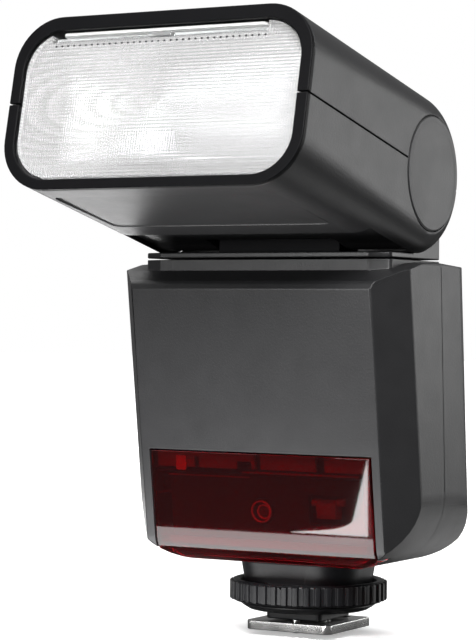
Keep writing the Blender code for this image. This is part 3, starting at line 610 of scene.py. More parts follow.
def body_form(name, inset):
    form = loft(name, [body_plan(z, inset) for z in (10.0, 76.0)])
    side = prism(name + "_side", body_side(inset), -40, 40, "X")
    front = prism(name + "_front", body_front(inset), -40, 40, "Y")
    return overlap_of(form, side, front)


def seam_cutter(name, side):
    low, high = sorted((side * SEAM_WIDTH / 2, side * 60))
    return box(name, (-50, low, -20), (50, high, 100), SEAM)


def octagon():
    front, side, reach, side_reach = 22.7, 26.75, 12.5, 10.8
    quarter = [(front, -reach), (side, -side_reach)]
    right = quarter + [(x, -y) for x, y in reversed(quarter)]
    left = [(-x, y) for x, y in reversed(right)]
    return [(x, y + SWIVEL_Y, 1.0) for x, y in right + left]


def opening_of(node, margin=GAP):
    """A cutter a little larger than a side piece's box."""
    low, high = lowest(node), highest(node)
    spread = Vector((4, margin, margin))
    return box(node + "_opening", low - spread, high + spread)


def make_body_shells():
    cavity = body_form("cavity", BODY_WALL)
    window_gap = box(
        "window_gap", (-WINDOW_HALF_WIDTH - GAP, -40, 0),
        (WINDOW_HALF_WIDTH + GAP, WINDOW_BACK_Y + GAP, WINDOW_TOP + GAP),
    )
    post_hole = cylinder("post_hole", 6.6, 60, 80, centre=(0, SWIVEL_Y, 0))
    side_holes = [opening_of("battery_door"), opening_of("port_flap")]
    front = body_form("front_casing", 0)
    unite(front, prism("collar", filleted(octagon()), 67.0, COLLAR_TOP))
    cut(front, cavity, seam_cutter("behind", 1), post_hole, *side_holes, window_gap,
        keep=[cavity, post_hole, *side_holes])
    rear = body_form("rear_casing", 0)
    unite(rear, prism("collar", filleted(octagon()), 67.0, COLLAR_TOP))
    # The tongue sits just under the surface in the seam, near black and matte: a real tongue,
    # coloured as painted shade of the gap.
    tongue = cut(body_form("seam_shade_tongue", 0.08), cavity, post_hole, *side_holes,
                 keep=[cavity, post_hole, *side_holes])
    half = SEAM_WIDTH / 2 - 0.02
    overlap_of(tongue, box("seam_slab", (-50, -half, -20), (50, half, 100), SEAM))
    cut(rear, cavity, seam_cutter("before", -1), post_hole, *side_holes, *rear_openings())
    stand_for(clean(front, 0.12, 2), "shell", "front_shell")
    stand_for(clean(rear, 0.12, 2), "shell", "rear_shell")
    add_to(clean(tongue), "gap", "front_shell")


def rear_openings():
    """Cutters for the display, the dial, the switch, the buttons and the case screws."""
    cutters = [
        prism("display_pocket", rounded(20.3, 9.55, 1.2, centre=(0, DISPLAY_Z)),
              -1.2, 3, "Y", DIAL),
        box("display_opening", (-18.3, -5, DISPLAY_Z - 7.7), (18.3, 3, DISPLAY_Z + 7.7), DIAL),
        cylinder("dial_opening", 10.8, -5, 3, "Y", matrix=DIAL),
        box("switch_opening", (16.1, -5, -5.05), (20.7, 3, 4.55), DIAL),
        cylinder("test_opening", 2.9, -5, 3, "Y", TEST_PLACE, matrix=DIAL),
    ]
    for x, z in KEY_PLACES:
        cutters.append(box(f"key_opening_{x}", (x - 4, -5, z - 2), (x + 4, 3, z + 2), DIAL))
    for x, z in CASE_SCREWS:
        # 37 steps, because with 30 or 32 the Boolean leaves a skin over one hole.
        cutters.append(turned(f"hole_{x}_{z}", [
            (0, -5), (1.6, -5), (1.6, -1.1), (2.3, -1.1), (2.3, 2.4), (0, 2.4),
        ], "Y", (x, 0, z), 37, DIAL))
    return cutters


def make_window():
    window = body_form("window", 0)
    region = box(
        "window_region", (-WINDOW_HALF_WIDTH, -40, 0),
        (WINDOW_HALF_WIDTH, WINDOW_BACK_Y, WINDOW_TOP),
    )
    cut(window, body_form("window_back", WINDOW_THICKNESS))
    overlap_of(window, region)
    stand_for(clean(window, 0.25, 3), "red_window", "focus_window")


def make_window_parts():
    """What shows dimly through the window: a mask under a pale ledge, a lamp and a sensor."""
    lamp = (-0.7, 0, -1.6)
    mask = prism("mask", rounded(21, 6.25, 1.0, centre=(0, -1)), 2.7, 3.9, "Y", FRONT)
    opening = rounded(4.0, 2.9, 0.6, centre=(13.4, -0.8))
    cut(mask, cylinder("lamp_hole", 2.5, 0, 6, "Y", lamp, 48, FRONT),
        prism("sensor_hole", opening, 0, 6, "Y", FRONT))
    stand_for(smooth(mask, 0.15, 2), "trim", "window_mask")
    ledge = box("mask_ledge", (-23.3, 2.3, 6.5), (23.3, 3.0, 9.3), FRONT)
    notches = ((-14.5, 0.5, 8.6), (-4, 1.6, 8.0), (-1, 0.6, 9.6), (12.5, 0.9, 9.6))
    cut(ledge, *[
        box(f"notch_{x}", (x - width, 2, 6), (x + width, 4, top), FRONT)
        for x, width, top in notches
    ])
    add_to(smooth(ledge, 0.12, 2), "ledge", "window_mask")
    tab = prism("mask_tab", rounded(1.15, 1.5, 0.5, centre=(-17.9, 7.4)),
                1.9, 2.25, "Y", FRONT)
    add_to(smooth(tab, 0.12, 2), "white", "window_mask")
    rails = [(8, 5.9, 12.5, 0.18), (-12, 4.9, 9, 0.12), (0, -8.0, 21.5, 0.7)]
    add_to(smooth(bars("mask_rails", rails, 2.2, 2.6, FRONT), 0.08, 2), "ledge", "window_mask")
    for name, radius, depth, centre in (
        ("lamp_ring", 2.15, 1.95, lamp), ("lamp_seat", 1.45, 2.6, (-0.45, 0, -1.75)),
    ):
        profile = [(radius - 0.25, depth), (radius, depth), (radius, depth + 0.6),
                   (radius - 0.25, depth + 0.6)]
        ring = turned(name, profile, "Y", centre, 64, FRONT)
        add_to(smooth(ring, 0.06, 2), "white", "focus_lamp")
    dome = turned("lamp_dome", [
        (0, 2.75), (0.5, 2.8), (1.0, 3.0), (1.5, 3.4), (1.75, 3.9), (1.75, 5.3), (0, 5.3),
    ], "Y", lamp, 64, FRONT)
    stand_for(smooth(dome), "glass", "focus_lamp_lens")
    facets = []
    for x, z, half, depth in (
        (13.0, -1.0, 2.0, 2.35), (16.0, 0.6, 0.8, 2.5), (10.6, 0.4, 0.7, 2.5),
    ):
        facets.append(loft(f"facet_{x}", [
            [(x + u, y, z + v) for u, v in rounded(reach, reach * 0.75, 0.1, 1)]
            for y, reach in ((depth + 2.0, half * 1.25), (depth + 0.4, half), (depth, half * 0.4))
        ], FRONT))
    sensor = facets.pop(0)
    unite(sensor, *facets)
    stand_for(smooth(sensor, angle=10), "facet", "light_sensor")


# Head


def half_section(half_width, half_height, corner, steps=14):
    """The upper half of a rounded rectangle, from the left side over to the right."""
    right = []
    for step in range(steps + 1):
        angle = math.radians(90 * step / steps)
        right.append((half_width - corner + corner * math.cos(angle),
                      half_height - corner + corner * math.sin(angle)))
    left = [(-x, z) for x, z in right]
    return [(-half_width, 0)] + left + list(reversed(right)) + [(half_width, 0)]


def head_form(name, inset, front):
    """A rounded box that ends in a barrel about the tilt axis, in the head's frame."""
    stations = []
    marks = [RIM_Y * (1 - step / 12) for step in range(13)]
    for y in ([front] if front != RIM_Y else []) + marks:
        share = min(1.0, y / RIM_Y)
        height = BARREL_RADIUS + (RIM_HALF_HEIGHT - BARREL_RADIUS) * share - inset
        corner = BARREL_CORNER + (RIM_CORNER - BARREL_CORNER) * share - inset
        section = half_section(HEAD_HALF_WIDTH - inset, height, corner)
        stations.append([(x, y, z) for x, z in section])
    section = [(x, z) for x, _, z in stations[-1]]
    below = [[(x, y, -z) for x, y, z in station] for station in reversed(stations)]
    turns = 60
    for step in range(1, turns):
        angle = math.pi * step / turns
        stations.append([(x, z * math.sin(angle), z * math.cos(angle)) for x, z in section])
    skin = bmesh.new()
    rows = [[skin.verts.new(Vector(point) * MM) for point in row] for row in stations + below]
    for row, following in zip(rows, rows[1:]):
        for index in range(len(row) - 1):
            corners = (row[index], row[index + 1], following[index + 1], following[index])
            skin.faces.new(corners)
    bmesh.ops.remove_doubles(skin, verts=skin.verts, dist=0.001 * MM)
    rim = [edge for edge in skin.edges if edge.is_boundary]
    bmesh.ops.holes_fill(skin, edges=rim)
    bmesh.ops.recalc_face_normals(skin, faces=skin.faces)
    return loose(name, skin)


def from_down(radius, degrees):
    """A point (y, z) at an angle from straight down, by way of the rear."""
    angle = math.radians(degrees)
    return radius * math.sin(angle), -radius * math.cos(angle)


def groove_outline(wall):
    radius = GROOVE_RADIUS - wall
    floor = GROOVE_FLOOR + wall
    front = GROOVE_FRONT - wall
    start = -math.degrees(math.acos(-floor / radius))
    end = GROOVE_END + math.degrees(wall / radius)
    inner = [from_down(radius, start + (end - start) * step / 60) for step in range(61)]
    outer = [from_down(22, end + (20 - end) * step / 12) for step in range(13)]
    return [(front, floor)] + inner + outer + [(front, -22)]


def slot_outline():
    reach = math.degrees(math.asin(TONGUE_HALF / DRUM_RADIUS)) + 2
    start, end = -reach, 90 + reach
    sweep = [from_down(24, start + (end - start) * step / 12) for step in range(13)]
    return [(0, 0)] + sweep


def in_head(obj, bevel=0.0, segments=3, angle=30):
    """Rounds a piece modelled in the head's frame, and turns it into place."""
    smooth(obj, bevel, segments, angle)
    obj.data.transform(HEAD)
    return obj


def make_head_shells():
    cavity = head_form("cavity", HEAD_WALL, RIM_Y - 5)
    cut(cavity, prism("groove_wall", groove_outline(GROOVE_WALL), -40, 40, "X"))
    slot_half = DRUM_HALF_WIDTH + 0.6
    shared = [
        cavity,
        prism("groove", groove_outline(0), -GROOVE_HALF_WIDTH, GROOVE_HALF_WIDTH, "X"),
        prism("slot", slot_outline(), -slot_half, slot_half, "X"),
        cylinder("pocket_left", DISC_RADIUS + 0.14, -35, -30.3, "X", steps=96),
        cylinder("pocket_right", DISC_RADIUS + 0.14, 30.3, 35, "X", steps=96),
    ]
    above = box("above", (-40, -70, -0.12), (40, 30, 40))
    below = box("below", (-40, -70, -40), (40, 30, 0.12))
    front = box("front", (-40, -70, -40), (40, RIM_Y + RIM_DEPTH, 40))
    mouth = prism("mouth", filleted([
        (-28.7, -14.4, 7.5), (28.7, -14.4, 7.5), (28.7, 13.75, 7.5), (-28.7, 13.75, 7.5),
    ], 14), -60, -45, "Y")
    label = prism("label", rounded(23, 11, 1.5, centre=(0, -34.5)), -20, -15.75)
    upper = cut(head_form("upper_casing", 0, RIM_Y), below, *shared, keep=[below, *shared])
    lower = cut(head_form("lower_casing", 0, RIM_Y), above, label, *shared, keep=[above])
    for casing, side, node in (
        (upper, below, "head_upper_shell"), (lower, above, "head_lower_shell"),
    ):
        rim = head_form(node.replace("shell", "rim"), 0, RIM_Y)
        overlap_of(rim, front, keep=[front])
        cut(rim, mouth, side, keep=[mouth, side])
        cut(casing, front, keep=[front])
        stand_for(in_head(tidy_faces(casing), 0.18, 2), "shell", node)
        add_to(in_head(tidy_faces(rim), 0.22, 3), "rim", node)
    for tool in (front, mouth, above, below):
        bpy.data.objects.remove(tool)


def make_tilt_caps():
    """The round caps over the ends of the tilt shaft, each with a shallow dish."""
    for side, node in ((-1, "tilt_cap_left"), (1, "tilt_cap_right")):
        profile = [
            (0, 30.4), (DISC_RADIUS, 30.4), (DISC_RADIUS, 30.75), (DISC_RADIUS - 0.25, 31.0),
            (DISC_RADIUS - 1.1, 31.0), (DISC_RADIUS - 1.35, 30.86), (0, 30.86),
        ]
        if side < 0:
            profile = [(radius, -height) for radius, height in reversed(profile)]
        cap = turned(node + "_cover", profile, "X")
        stand_for(in_head(cap), "shell", node)


def lens_outline():
    half_width = HEAD_HALF_WIDTH - HEAD_WALL - GAP
    low = -(RIM_HALF_HEIGHT - HEAD_WALL - GAP)
    corner = RIM_CORNER - HEAD_WALL
    return filleted([
        (-half_width, low, corner), (half_width, low, corner),
        (half_width, 13.5, 7.3), (-half_width, 13.5, 7.3),
    ], 10)


def make_lens():
    """A flat-fronted lens with ring grooves on its back, each rising slowly and falling fast."""
    pitch, reach = 0.45, 34
    back = LENS_FRONT + 1.8
    profile = [(0, LENS_FRONT), (reach, LENS_FRONT)]
    for groove in range(int(reach / pitch), 0, -1):
        profile.append((groove * pitch, back))
        profile.append(((groove - 0.9) * pitch, back - 0.2))
    profile.append((0, back))
    lens = turned("fresnel", profile, "Y", steps=144)
    overlap_of(lens, prism("lens_edge", lens_outline(), -60, -40, "Y"))
    cut(lens, box("panel_slot", (-23.8, -60, LENS_TOP + 0.15), (21.2, -40, 20)))
    lens.data.transform(HEAD)
    smooth(lens, angle=12)
    stand_for(lens, "lens", "fresnel_lens")
    dots = bmesh.new()
    for step in range(35):
        place = Matrix.Translation(Vector(((step - 17) * 1.28 - 1.0, LENS_FRONT, 10.9)) * MM)
        flat = Matrix.Diagonal((1, 0.3, 0.8, 1))
        bmesh.ops.create_uvsphere(
            dots, u_segments=12, v_segments=8, radius=0.24 * MM, matrix=place @ flat
        )
    add_to(in_head(loose("lens_dots", dots)), "dark", "panel_tray")


def make_panels():
    """The catch-light panel over the wide panel, in the slot above the lens."""
    card = prism("catchlight_card", rounded(21.3, 15.9, 1.0, centre=(-0.8, -34.4)),
                 13.05, 13.6)
    stand_for(in_head(card, 0.1), "white", "catchlight_panel")
    wide = prism("wide_sheet", rounded(21.9, 15.7, 1.0, centre=(-1.5, -34.2)),
                 11.75, 12.2)
    lip = box("wide_lip", (-23.4, -49.9, 11.75), (20.4, -49.2, 12.62))
    tab = prism("wide_tab", rounded(2.6, 0.8, 0.4, centre=(-1.0, -50.0)), 11.9, 12.6)
    unite(wide, lip, tab)
    stand_for(in_head(wide, 0.1), "clear", "wide_panel")
    tray = box("tray", (-24.4, -48.7, 10.6), (24.4, -18.5, 11.4))
    stand_for(in_head(tray, 0.15), "trim", "panel_tray")


def mirror_outline(offset):
    """A parabola in (y, z) that opens forward, moved out by offset."""
    points = []
    for step in range(49):
        share = 1 - step / 24
        y = REFLECTOR_BACK - (REFLECTOR_BACK - MOUTH_Y) * share ** 2
        points.append((y + offset, share * (REFLECTOR_HALF_HEIGHT + offset)))
    front = MOUTH_Y + (0 if offset else -3)
    return [(front, points[0][1])] + points + [(front, points[-1][1])]


def funnel(name, corner, *stations):
    """A tapered block along y, with a (y, half width, half height) station at each end."""
    return loft(name, [
        [(x, y, z) for x, z in rounded(half_width, half_height, corner)]
        for y, half_width, half_height in stations
    ])


def make_reflector():
    wall = 0.7
    half = REFLECTOR_HALF_WIDTH
    mirror = prism("mirror", mirror_outline(wall), -half, half, "X")
    flare = funnel("flare", 1.0, (MOUTH_Y + 3, half, 9.2), (MOUTH_Y - 1.5, 26.6, 10.2))
    unite(mirror, flare)
    hollow = prism("hollow", mirror_outline(0), -half + wall, half - wall, "X")
    flare_hollow = funnel("flare_hollow", 0.8, (MOUTH_Y + 2.6, half - wall, 8.2),
                          (MOUTH_Y - 2.0, 26.4, 9.9))
    tube_hole = cylinder("tube_hole", 2.1, -40, 40, "X", TUBE_PLACE, 32)
    cut(mirror, hollow, flare_hollow, tube_hole)
    stand_for(in_head(tidy_faces(mirror)), "mirror", "reflector")
    glass = cylinder("tube_glass", 1.7, -23.4, 23.4, "X", TUBE_PLACE, 48)
    stand_for(in_head(glass, 0.3), "glass", "flash_tube")
    for side in (-1, 1):
        for part, radius, near, far, steps in (
            ("end", 1.72, 22.2, 24.0, 32), ("pole", 0.7, 16.5, 22.0, 24),
        ):
            ends = sorted((side * near, side * far))
            metal = cylinder(f"tube_{part}_{side}", radius, *ends, "X", TUBE_PLACE, steps)
            add_to(in_head(metal, 0.2), "steel", "flash_tube")


# Yoke and foot


def make_yoke():
    tilt_y, tilt_z = TILT_AXIS.y, TILT_AXIS.z
    yoke = prism("yoke_base", filleted(octagon()), 72.8, 77.5)
    trough = cylinder("trough", 14.7, -40, 40, "X", (0, tilt_y, tilt_z), 128)
    front_space = box("front_space", (-40, -40, 73.9), (40, tilt_y + 0.5, 90))
    cut(yoke, trough, front_space)
    stand_for(clean(yoke, 0.25, 3), "trim", "swivel_yoke")
    tongue = box(
        "tongue", (-DRUM_HALF_WIDTH, tilt_y - TONGUE_HALF, 73.1),
        (DRUM_HALF_WIDTH, tilt_y + TONGUE_HALF, 80),
    )
    drum = cylinder("drum", DRUM_RADIUS, -DRUM_HALF_WIDTH, DRUM_HALF_WIDTH, "X",
                    (0, tilt_y, tilt_z), 96)
    post = cylinder("post", 6.3, 63.5, 73.3, centre=(0, SWIVEL_Y, 0))
    unite(drum, tongue, post)
    cut(drum, cylinder("drum_bore", 2.3, -40, 40, "X", (0, tilt_y, tilt_z), 48))
    # The drum, its tongue and the post are darker than the yoke's trim: painted shade under the
    # head.
    add_to(clean(drum, 0.25, 3), "dark", "swivel_yoke")


def knurled(radius, depth, count):
    """A round outline with count flat ridges on it."""
    points = []
    for tooth in range(count):
        for share, low in ((0.0, 0), (0.22, 0), (0.44, 0), (0.56, 1), (0.72, 1), (0.88, 1)):
            angle = 2 * math.pi * (tooth + share) / count
            reach = radius - depth * low
            points.append((reach * math.cos(angle), reach * math.sin(angle)))
    return points


def make_foot():
    neck = loft("neck_body", [
        [(x, y, z) for x, y in rounded(half_width, half_depth, 8.0, 14)]
        for z, half_width, half_depth in ((8.9, 12.1, 10.0), (13.5, 12.75, 10.5))
    ])
    thread = turned("thread", [(0, 5.5), (10.9, 5.5), (10.9, 9.2), (0, 9.2)])
    stem = prism("stem", rounded(6.1, 6.6, 1.0), 2.1, 6.2)
    unite(neck, thread, stem)
    cut(neck, cylinder("pin_bore", 1.1, 0, 9.6, centre=PIN_PLACE, steps=32))
    stand_for(clean(neck, 0.3, 3), "foot", "foot_neck")
    ring = prism("ring", knurled(15.6, 0.75, 44), 5.9, 9.45)
    unite(ring, turned("ring_body", [
        (11.4, 5.5), (14.6, 5.5), (15.1, 5.95), (15.1, 9.3), (14.8, 9.75), (13.9, 9.75),
        (13.6, 9.4), (13.6, 8.55), (11.4, 8.55),
    ]))
    cut(ring, cylinder("ring_bore", 11.4, 0, 12, steps=96),
        cylinder("ring_dish", 13.6, 8.55, 12, steps=96))
    stand_for(clean(ring, 0.1, 2), "foot", "lock_ring")
    washer = turned("washer", [
        (10.4, 3.9), (11.5, 3.9), (11.9, 4.0), (13.1, 4.75), (13.35, 4.95), (13.3, 5.2),
        (10.4, 5.2),
    ])
    stand_for(smooth(washer), "foot", "clamp_washer")
    plate = prism("plate", filleted([
        (-9.3, -9.0, 1.4), (9.3, -9.0, 1.4), (9.3, 9.0, 0.6), (-9.3, 9.0, 0.6),
    ], 8), 0, 1.8)
    cut(plate, box("contact_window", (-5.8, 2.4, -1), (5.8, 7.2, 3)),
        cylinder("pin_hole", 1.1, -1, 3, centre=PIN_PLACE, steps=32))
    for x in (-SHOE_SCREW_X, SHOE_SCREW_X):
        sink = turned(f"sink_{x}", [(0, -0.2), (2.0, -0.2), (1.0, 1.9), (0, 1.9)],
                      centre=(x, 0, 0), steps=48)
        cut(plate, sink)
    stand_for(clean(plate, 0.16, 3), "steel", "shoe_plate")
    pin = turned("pin", [(0, -0.6), (0.55, -0.6), (0.8, -0.35), (0.8, 8.2), (0, 8.2)],
                 centre=PIN_PLACE, steps=32)
    stand_for(smooth(pin), "steel", "lock_pin")


def make_contacts():
    """The contact block under the plate, and the two screws beside it."""
    block = prism("block", rounded(5.5, 2.1, 0.5, centre=(0, 4.8)), 0.0, 1.6)
    pads = []
    pad = [(0, 0.1), (0.5, 0.13), (0.75, 0.3), (0.75, 0.9), (0, 0.9)]
    for x in (-3.6, -1.2, 1.2, 3.6):
        place = (x, 4.85, 0)
        cut(block, cylinder(f"well_{x}", 0.95, -1, 0.5, centre=place, steps=32))
        pads.append(turned(f"pad_{x}", pad, centre=place, steps=32))
    stand_for(clean(block, 0.12, 2), "trim", "contact_block")
    strip = box("contact_strip", (-4.4, 4.4, 0.6), (4.4, 5.3, 0.85))
    unite(strip, *pads)
    stand_for(smooth(strip), "brass", "shoe_contacts")
    for side, x in (("left", -SHOE_SCREW_X), ("right", SHOE_SCREW_X)):
        screw = turned(f"foot_screw_{x}", [
            (0, 0.1), (1.5, 0.1), (1.5, 0.3), (0.65, 1.4), (0.65, 5.6), (0, 5.6),
        ], centre=(x, 0, 0), steps=48)
        cut(screw, box("cross_a", (x - 0.95, -0.16, -1), (x + 0.95, 0.16, 0.6)),
            box("cross_b", (x - 0.16, -0.95, -1), (x + 0.16, 0.95, 0.6)))
        stand_for(smooth(screw), "steel", "shoe_screw_" + side)


# Side pieces and rear controls


def make_side_pieces():
    """The battery door with its grip, the port flap, and the socket behind it."""
    skin = lowest("battery_door").x
    door = prism("door", rounded(6.2, 17.5, 1.0, centre=DOOR_CENTRE),
                 skin, skin + 1.6, "X")
    grooves = [
        prism(f"grip_{z}", rounded(4.2, 0.32, 0.31, centre=(DOOR_CENTRE[0], z)),
              skin - 1, skin + 0.45, "X")
        for z in (57.0, 58.4, 59.8, 61.2, 62.6)
    ]
    arrow = prism("arrow", [(-9.0, 54.2), (-5.4, 54.2), (-7.2, 51.6)], skin - 1, skin + 0.3, "X")
    cut(door, *grooves, arrow)
    stand_for(clean(door, 0.16, 3), "shell", "battery_door")
    flap = prism("flap", rounded(4.5, 2.0, 0.8, centre=(-4.5, 28.3)),
                 skin, skin + 1.4, "X")
    cut(flap, cylinder("finger_dip", 1.1, 26, 31, "Z", (skin - 0.7, -7.9, 0), 32))
    stand_for(clean(flap, 0.2, 3), "rubber", "port_flap")
    socket = prism("socket", rounded(3.2, 1.6, 0.9, centre=SOCKET_CENTRE),
                   -29.0, -23.4, "X")
    cut(socket, prism("socket_mouth", rounded(2.9, 1.3, 0.7, centre=SOCKET_CENTRE),
                      -30, -24, "X"))
    stand_for(smooth(socket, 0.08, 2), "steel", "port_socket")
    tongue = box("socket_tongue", (-28.2, -6.4, 28.1), (-23.8, -2.4, 28.7))
    add_to(smooth(tongue, 0.1, 2), "trim", "port_socket")


def make_display():
    """A clear cover over an unlit panel with plain digit and scale segments."""
    cover = prism("cover", rounded(20, 9.25, 1.0, centre=(0, DISPLAY_Z)),
                  -0.95, -0.05, "Y", DIAL)
    stand_for(smooth(cover, 0.15, 3), "cover", "display_cover")
    border = prism("cover_border", rounded(19.9, 9.1, 0.9, centre=(0, DISPLAY_Z)),
                   -1.15, -1.0, "Y", DIAL)
    cut(border, prism("border_gap", rounded(17.2, 7.0, 0.6, centre=(0, DISPLAY_Z)),
                      -3, 3, "Y", DIAL))
    add_to(smooth(border), "dark", "display_cover")
    panel = prism("panel", rounded(18, 7.4, 0.3, centre=(0, DISPLAY_Z)),
                  -4.6, -2.2, "Y", DIAL)
    stand_for(smooth(panel, 0.08, 2), "display", "display")
    marks = []
    for x in (-6.4, -1.6, 3.2):
        for z in (-2.0, 0.0, 2.0):
            marks.append((x, DISPLAY_Z + 1.6 + z, 1.05, 0.17))
        for side in (-1.35, 1.35):
            marks.append((x + side, DISPLAY_Z + 0.6, 0.17, 0.78))
            marks.append((x + side, DISPLAY_Z + 2.6, 0.17, 0.78))
    for step in range(16):
        x = step * 1.15 - 8.6
        marks.append((x, DISPLAY_Z - 4.6, 0.16, 0.5 if step % 5 else 0.9))
        marks.append((x, DISPLAY_Z - 2.6, 0.4, 0.22))
    marks += [(-14.2, DISPLAY_Z + z, 1.3, 0.5) for z in (4.4, 1.6, -1.2, -4.0)]
    marks += [(13.4, DISPLAY_Z + z, 1.7, 0.9) for z in (3.4, -0.2, -3.8)]
    add_to(bars("segments", marks, -2.2, -2.12, DIAL), "segment", "display")


def make_keys():
    """The four keys, with a bar, two bars, a square and a cross on them."""
    icons = (
        [(0, 0, 1.0, 0.16)],
        [(0, 0.35, 0.8, 0.14), (0, -0.35, 0.8, 0.14)],
        [(0, 0.55, 0.7, 0.13), (0, -0.55, 0.7, 0.13), (-0.6, 0, 0.13, 0.6), (0.6, 0, 0.13, 0.6)],
        [(0, 0, 0.85, 0.14), (0, 0, 0.14, 0.7)],
    )
    for index, ((x, z), icon) in enumerate(zip(KEY_PLACES, icons), 1):
        outline = rounded(3.7, 1.7, 0.9, centre=(x, z))
        key = prism(f"key_{index}", outline, -3.2, 0.7, "Y", DIAL)
        low, high = (x - 4.4, -3.2, z - 2.2), (x + 4.4, -2.2, z + 2.2)
        unite(key, box(f"flange_{index}", low, high, DIAL))
        stand_for(clean(key, 0.3, 4), "rubber", f"menu_button_{index}")
        places = [(x + u, z + v, w, h) for u, v, w, h in icon]
        add_to(bars(f"icon_{index}", places, 0.6, 0.73, DIAL), "print", f"menu_button_{index}")


def make_dial():
    dial = prism("dial", knurled(10.5, 0.35, 40), -1.9, 0.9, "Y", DIAL)
    unite(dial, turned("dial_face", [
        (0, -3.0), (9.7, -3.0), (9.9, 0.6), (9.9, 1.0), (9.5, 1.3), (8.6, 1.3), (7.6, 0.85),
        (0, 0.85),
    ], "Y", matrix=DIAL), cylinder("dial_flange", 11.3, -3.4, -2.2, "Y", matrix=DIAL))
    cut(dial, cylinder("dial_bore", 5.5, -6, 6, "Y", matrix=DIAL))
    stand_for(clean(dial, 0.08, 2), "trim", "select_dial")
    arrow = [(-0.7, 6.2), (0.7, 6.2), (0, 7.1)]
    for number in range(4):
        spin = DIAL @ Matrix.Rotation(math.radians(90 * number), 4, "Y")
        add_to(prism(f"dial_mark_{number}", arrow, 0.8, 0.9, "Y", spin), "print", "select_dial")
    button = turned("set_cap", [
        (0, -3.4), (5.2, -3.4), (5.2, 0.45), (4.95, 0.8), (4.5, 0.9), (3.8, 0.8), (2.0, 0.62),
        (0, 0.56),
    ], "Y", matrix=DIAL)
    stand_for(smooth(button), "trim", "set_button")
    ring = turned("set_mark", [(0.75, 0.5), (1.0, 0.5), (1.0, 0.64), (0.75, 0.64)], "Y",
                  steps=48, matrix=DIAL)
    add_to(ring, "print", "set_button")


def make_switches():
    switch = box("slider", (16.4, -3.4, -4.75), (20.4, 1.0, 0.75), DIAL)
    unite(switch, box("slider_flange", (15.5, -3.4, -5.4), (21.3, -2.2, 1.4), DIAL))
    cut(switch, *[
        box(f"slider_groove_{z}", (16, 0.62, z - 0.28), (21, 2, z + 0.28), DIAL)
        for z in (-3.6, -2.5, -1.4, -0.3)
    ])
    stand_for(clean(switch, 0.12, 2), "trim", "power_switch")
    marks = bars("switch_marks", [(22.9, -2.0, 0.14, 0.8), (22.9, 1.5, 0.8, 0.14),
                                  (22.9, 2.3, 0.8, 0.14)], -0.1, 0.03, DIAL)
    add_to(marks, "print", "rear_shell")
    test = turned("test_cap", [
        (0, -3.4), (3.3, -3.4), (3.3, -2.2), (2.6, -2.2), (2.6, 0.4), (2.3, 0.75), (2.0, 0.8),
        (1.3, 0.66), (0, 0.6),
    ], "Y", TEST_PLACE, 64, DIAL)
    stand_for(smooth(test), "trim", "test_button")


def make_case_screws():
    cross = [(0.2, 0.2), (1.2, 0.2), (1.2, -0.2), (0.2, -0.2), (0.2, -1.2), (-0.2, -1.2),
             (-0.2, -0.2), (-1.2, -0.2), (-1.2, 0.2), (-0.2, 0.2), (-0.2, 1.2), (0.2, 1.2)]
    for index, (x, z) in enumerate(CASE_SCREWS, 1):
        screw = turned(f"screw_{index}", [
            (0, -6.0), (1.2, -6.0), (1.2, -0.95), (2.0, -0.95), (2.0, -0.4), (1.75, -0.18),
            (0, -0.15),
        ], "Y", steps=44)
        cut(screw, prism("cross", cross, -0.6, 1, "Y"))
        smooth(screw, 0.05, 2).data.transform(DIAL @ Matrix.Translation((x * MM, 0, z * MM)))
        stand_for(screw, "screw", f"case_screw_{index}")


def dress_the_rest():
    """Gives each CAD node that still shows its slot's material, and rounds its edges."""
    looks = {
        "shell_plastic": "shell", "trim_plastic": "trim", "rubber": "rubber",
        "red_window": "red_window", "clear_lens": "clear", "white_panel": "white",
        "bright_metal": "steel", "mirror_metal": "mirror", "brass": "brass",
        "glass_tube": "glass", "circuit_board": "board", "display": "display",
        "display_cover": "cover", "cell_wrap": "cell",
    }
    for name, node in frame["nodes"].items():
        if name in STOOD_FOR:
            continue
        node.data.materials.clear()
        node.data.materials.append(MATERIALS[looks[SLOTS[name]]])
        bevelled(node, 0.15, 2, 40)


# Studio

CAMERA_PLACE = (219.33, -415.02, 60.86)
CAMERA_AZIMUTH = 29.62
CAMERA_ROLL = 0.52
FOCAL_LENGTH = 132.91875
FLASH_MIDDLE = (0, -0.01, 0.065)
WHITE = (1, 1, 1, 1)
PALE_FLOOR = (0.95, 0.95, 0.95, 1)
FLOOR_BOUNCE = (0.08, 0.08, 0.08, 1)
FLOOR_GAP = 0.5
ROOM_LIGHT = 0.22
GLOW = 14.0


def add_camera():
    """The camera stands to the right of the front, level with the body, a little rolled."""
    camera = linked("camera", bpy.data.cameras.new("camera"))
    azimuth, roll = math.radians(CAMERA_AZIMUTH), math.radians(CAMERA_ROLL)
    back = Vector((math.sin(azimuth), -math.cos(azimuth), 0.0))
    level = Vector((math.cos(azimuth), math.sin(azimuth), 0.0))
    up = back.cross(level)
    right = math.cos(roll) * level + math.sin(roll) * up
    top = -math.sin(roll) * level + math.cos(roll) * up
    matrix = Matrix((right, top, back)).transposed().to_4x4()
    matrix.translation = Vector(CAMERA_PLACE) * MM
    camera.matrix_world = matrix
    camera.data.lens = FOCAL_LENGTH
    camera.data.sensor_width = 36
    camera.data.clip_start = 0.01
    bpy.context.scene.camera = camera


def seen_as(tree, shown, otherwise):
    """A shader that the camera sees as shown, and every other ray as otherwise."""
    return output_of(tree, "MixShader", "Shader", {
        "Fac": output_of(tree, "LightPath", "Is Camera Ray"), 1: otherwise, 2: shown})


def add_world():
    """White to the camera, and a dim room to everything else, so that black stays black."""
    world = bpy.data.worlds.new("studio")
    bpy.context.scene.world = world
    world.use_nodes = True
    tree = world.node_tree
    room = tree.nodes["Background"]
    wire(tree, room, {"Color": WHITE, "Strength": ROOM_LIGHT})
    white = output_of(tree, "Background", "Background", {"Color": WHITE, "Strength": 1.0})
    surface = seen_as(tree, white, room.outputs["Background"])
    wire(tree, tree.nodes["World Output"], {"Surface": surface})


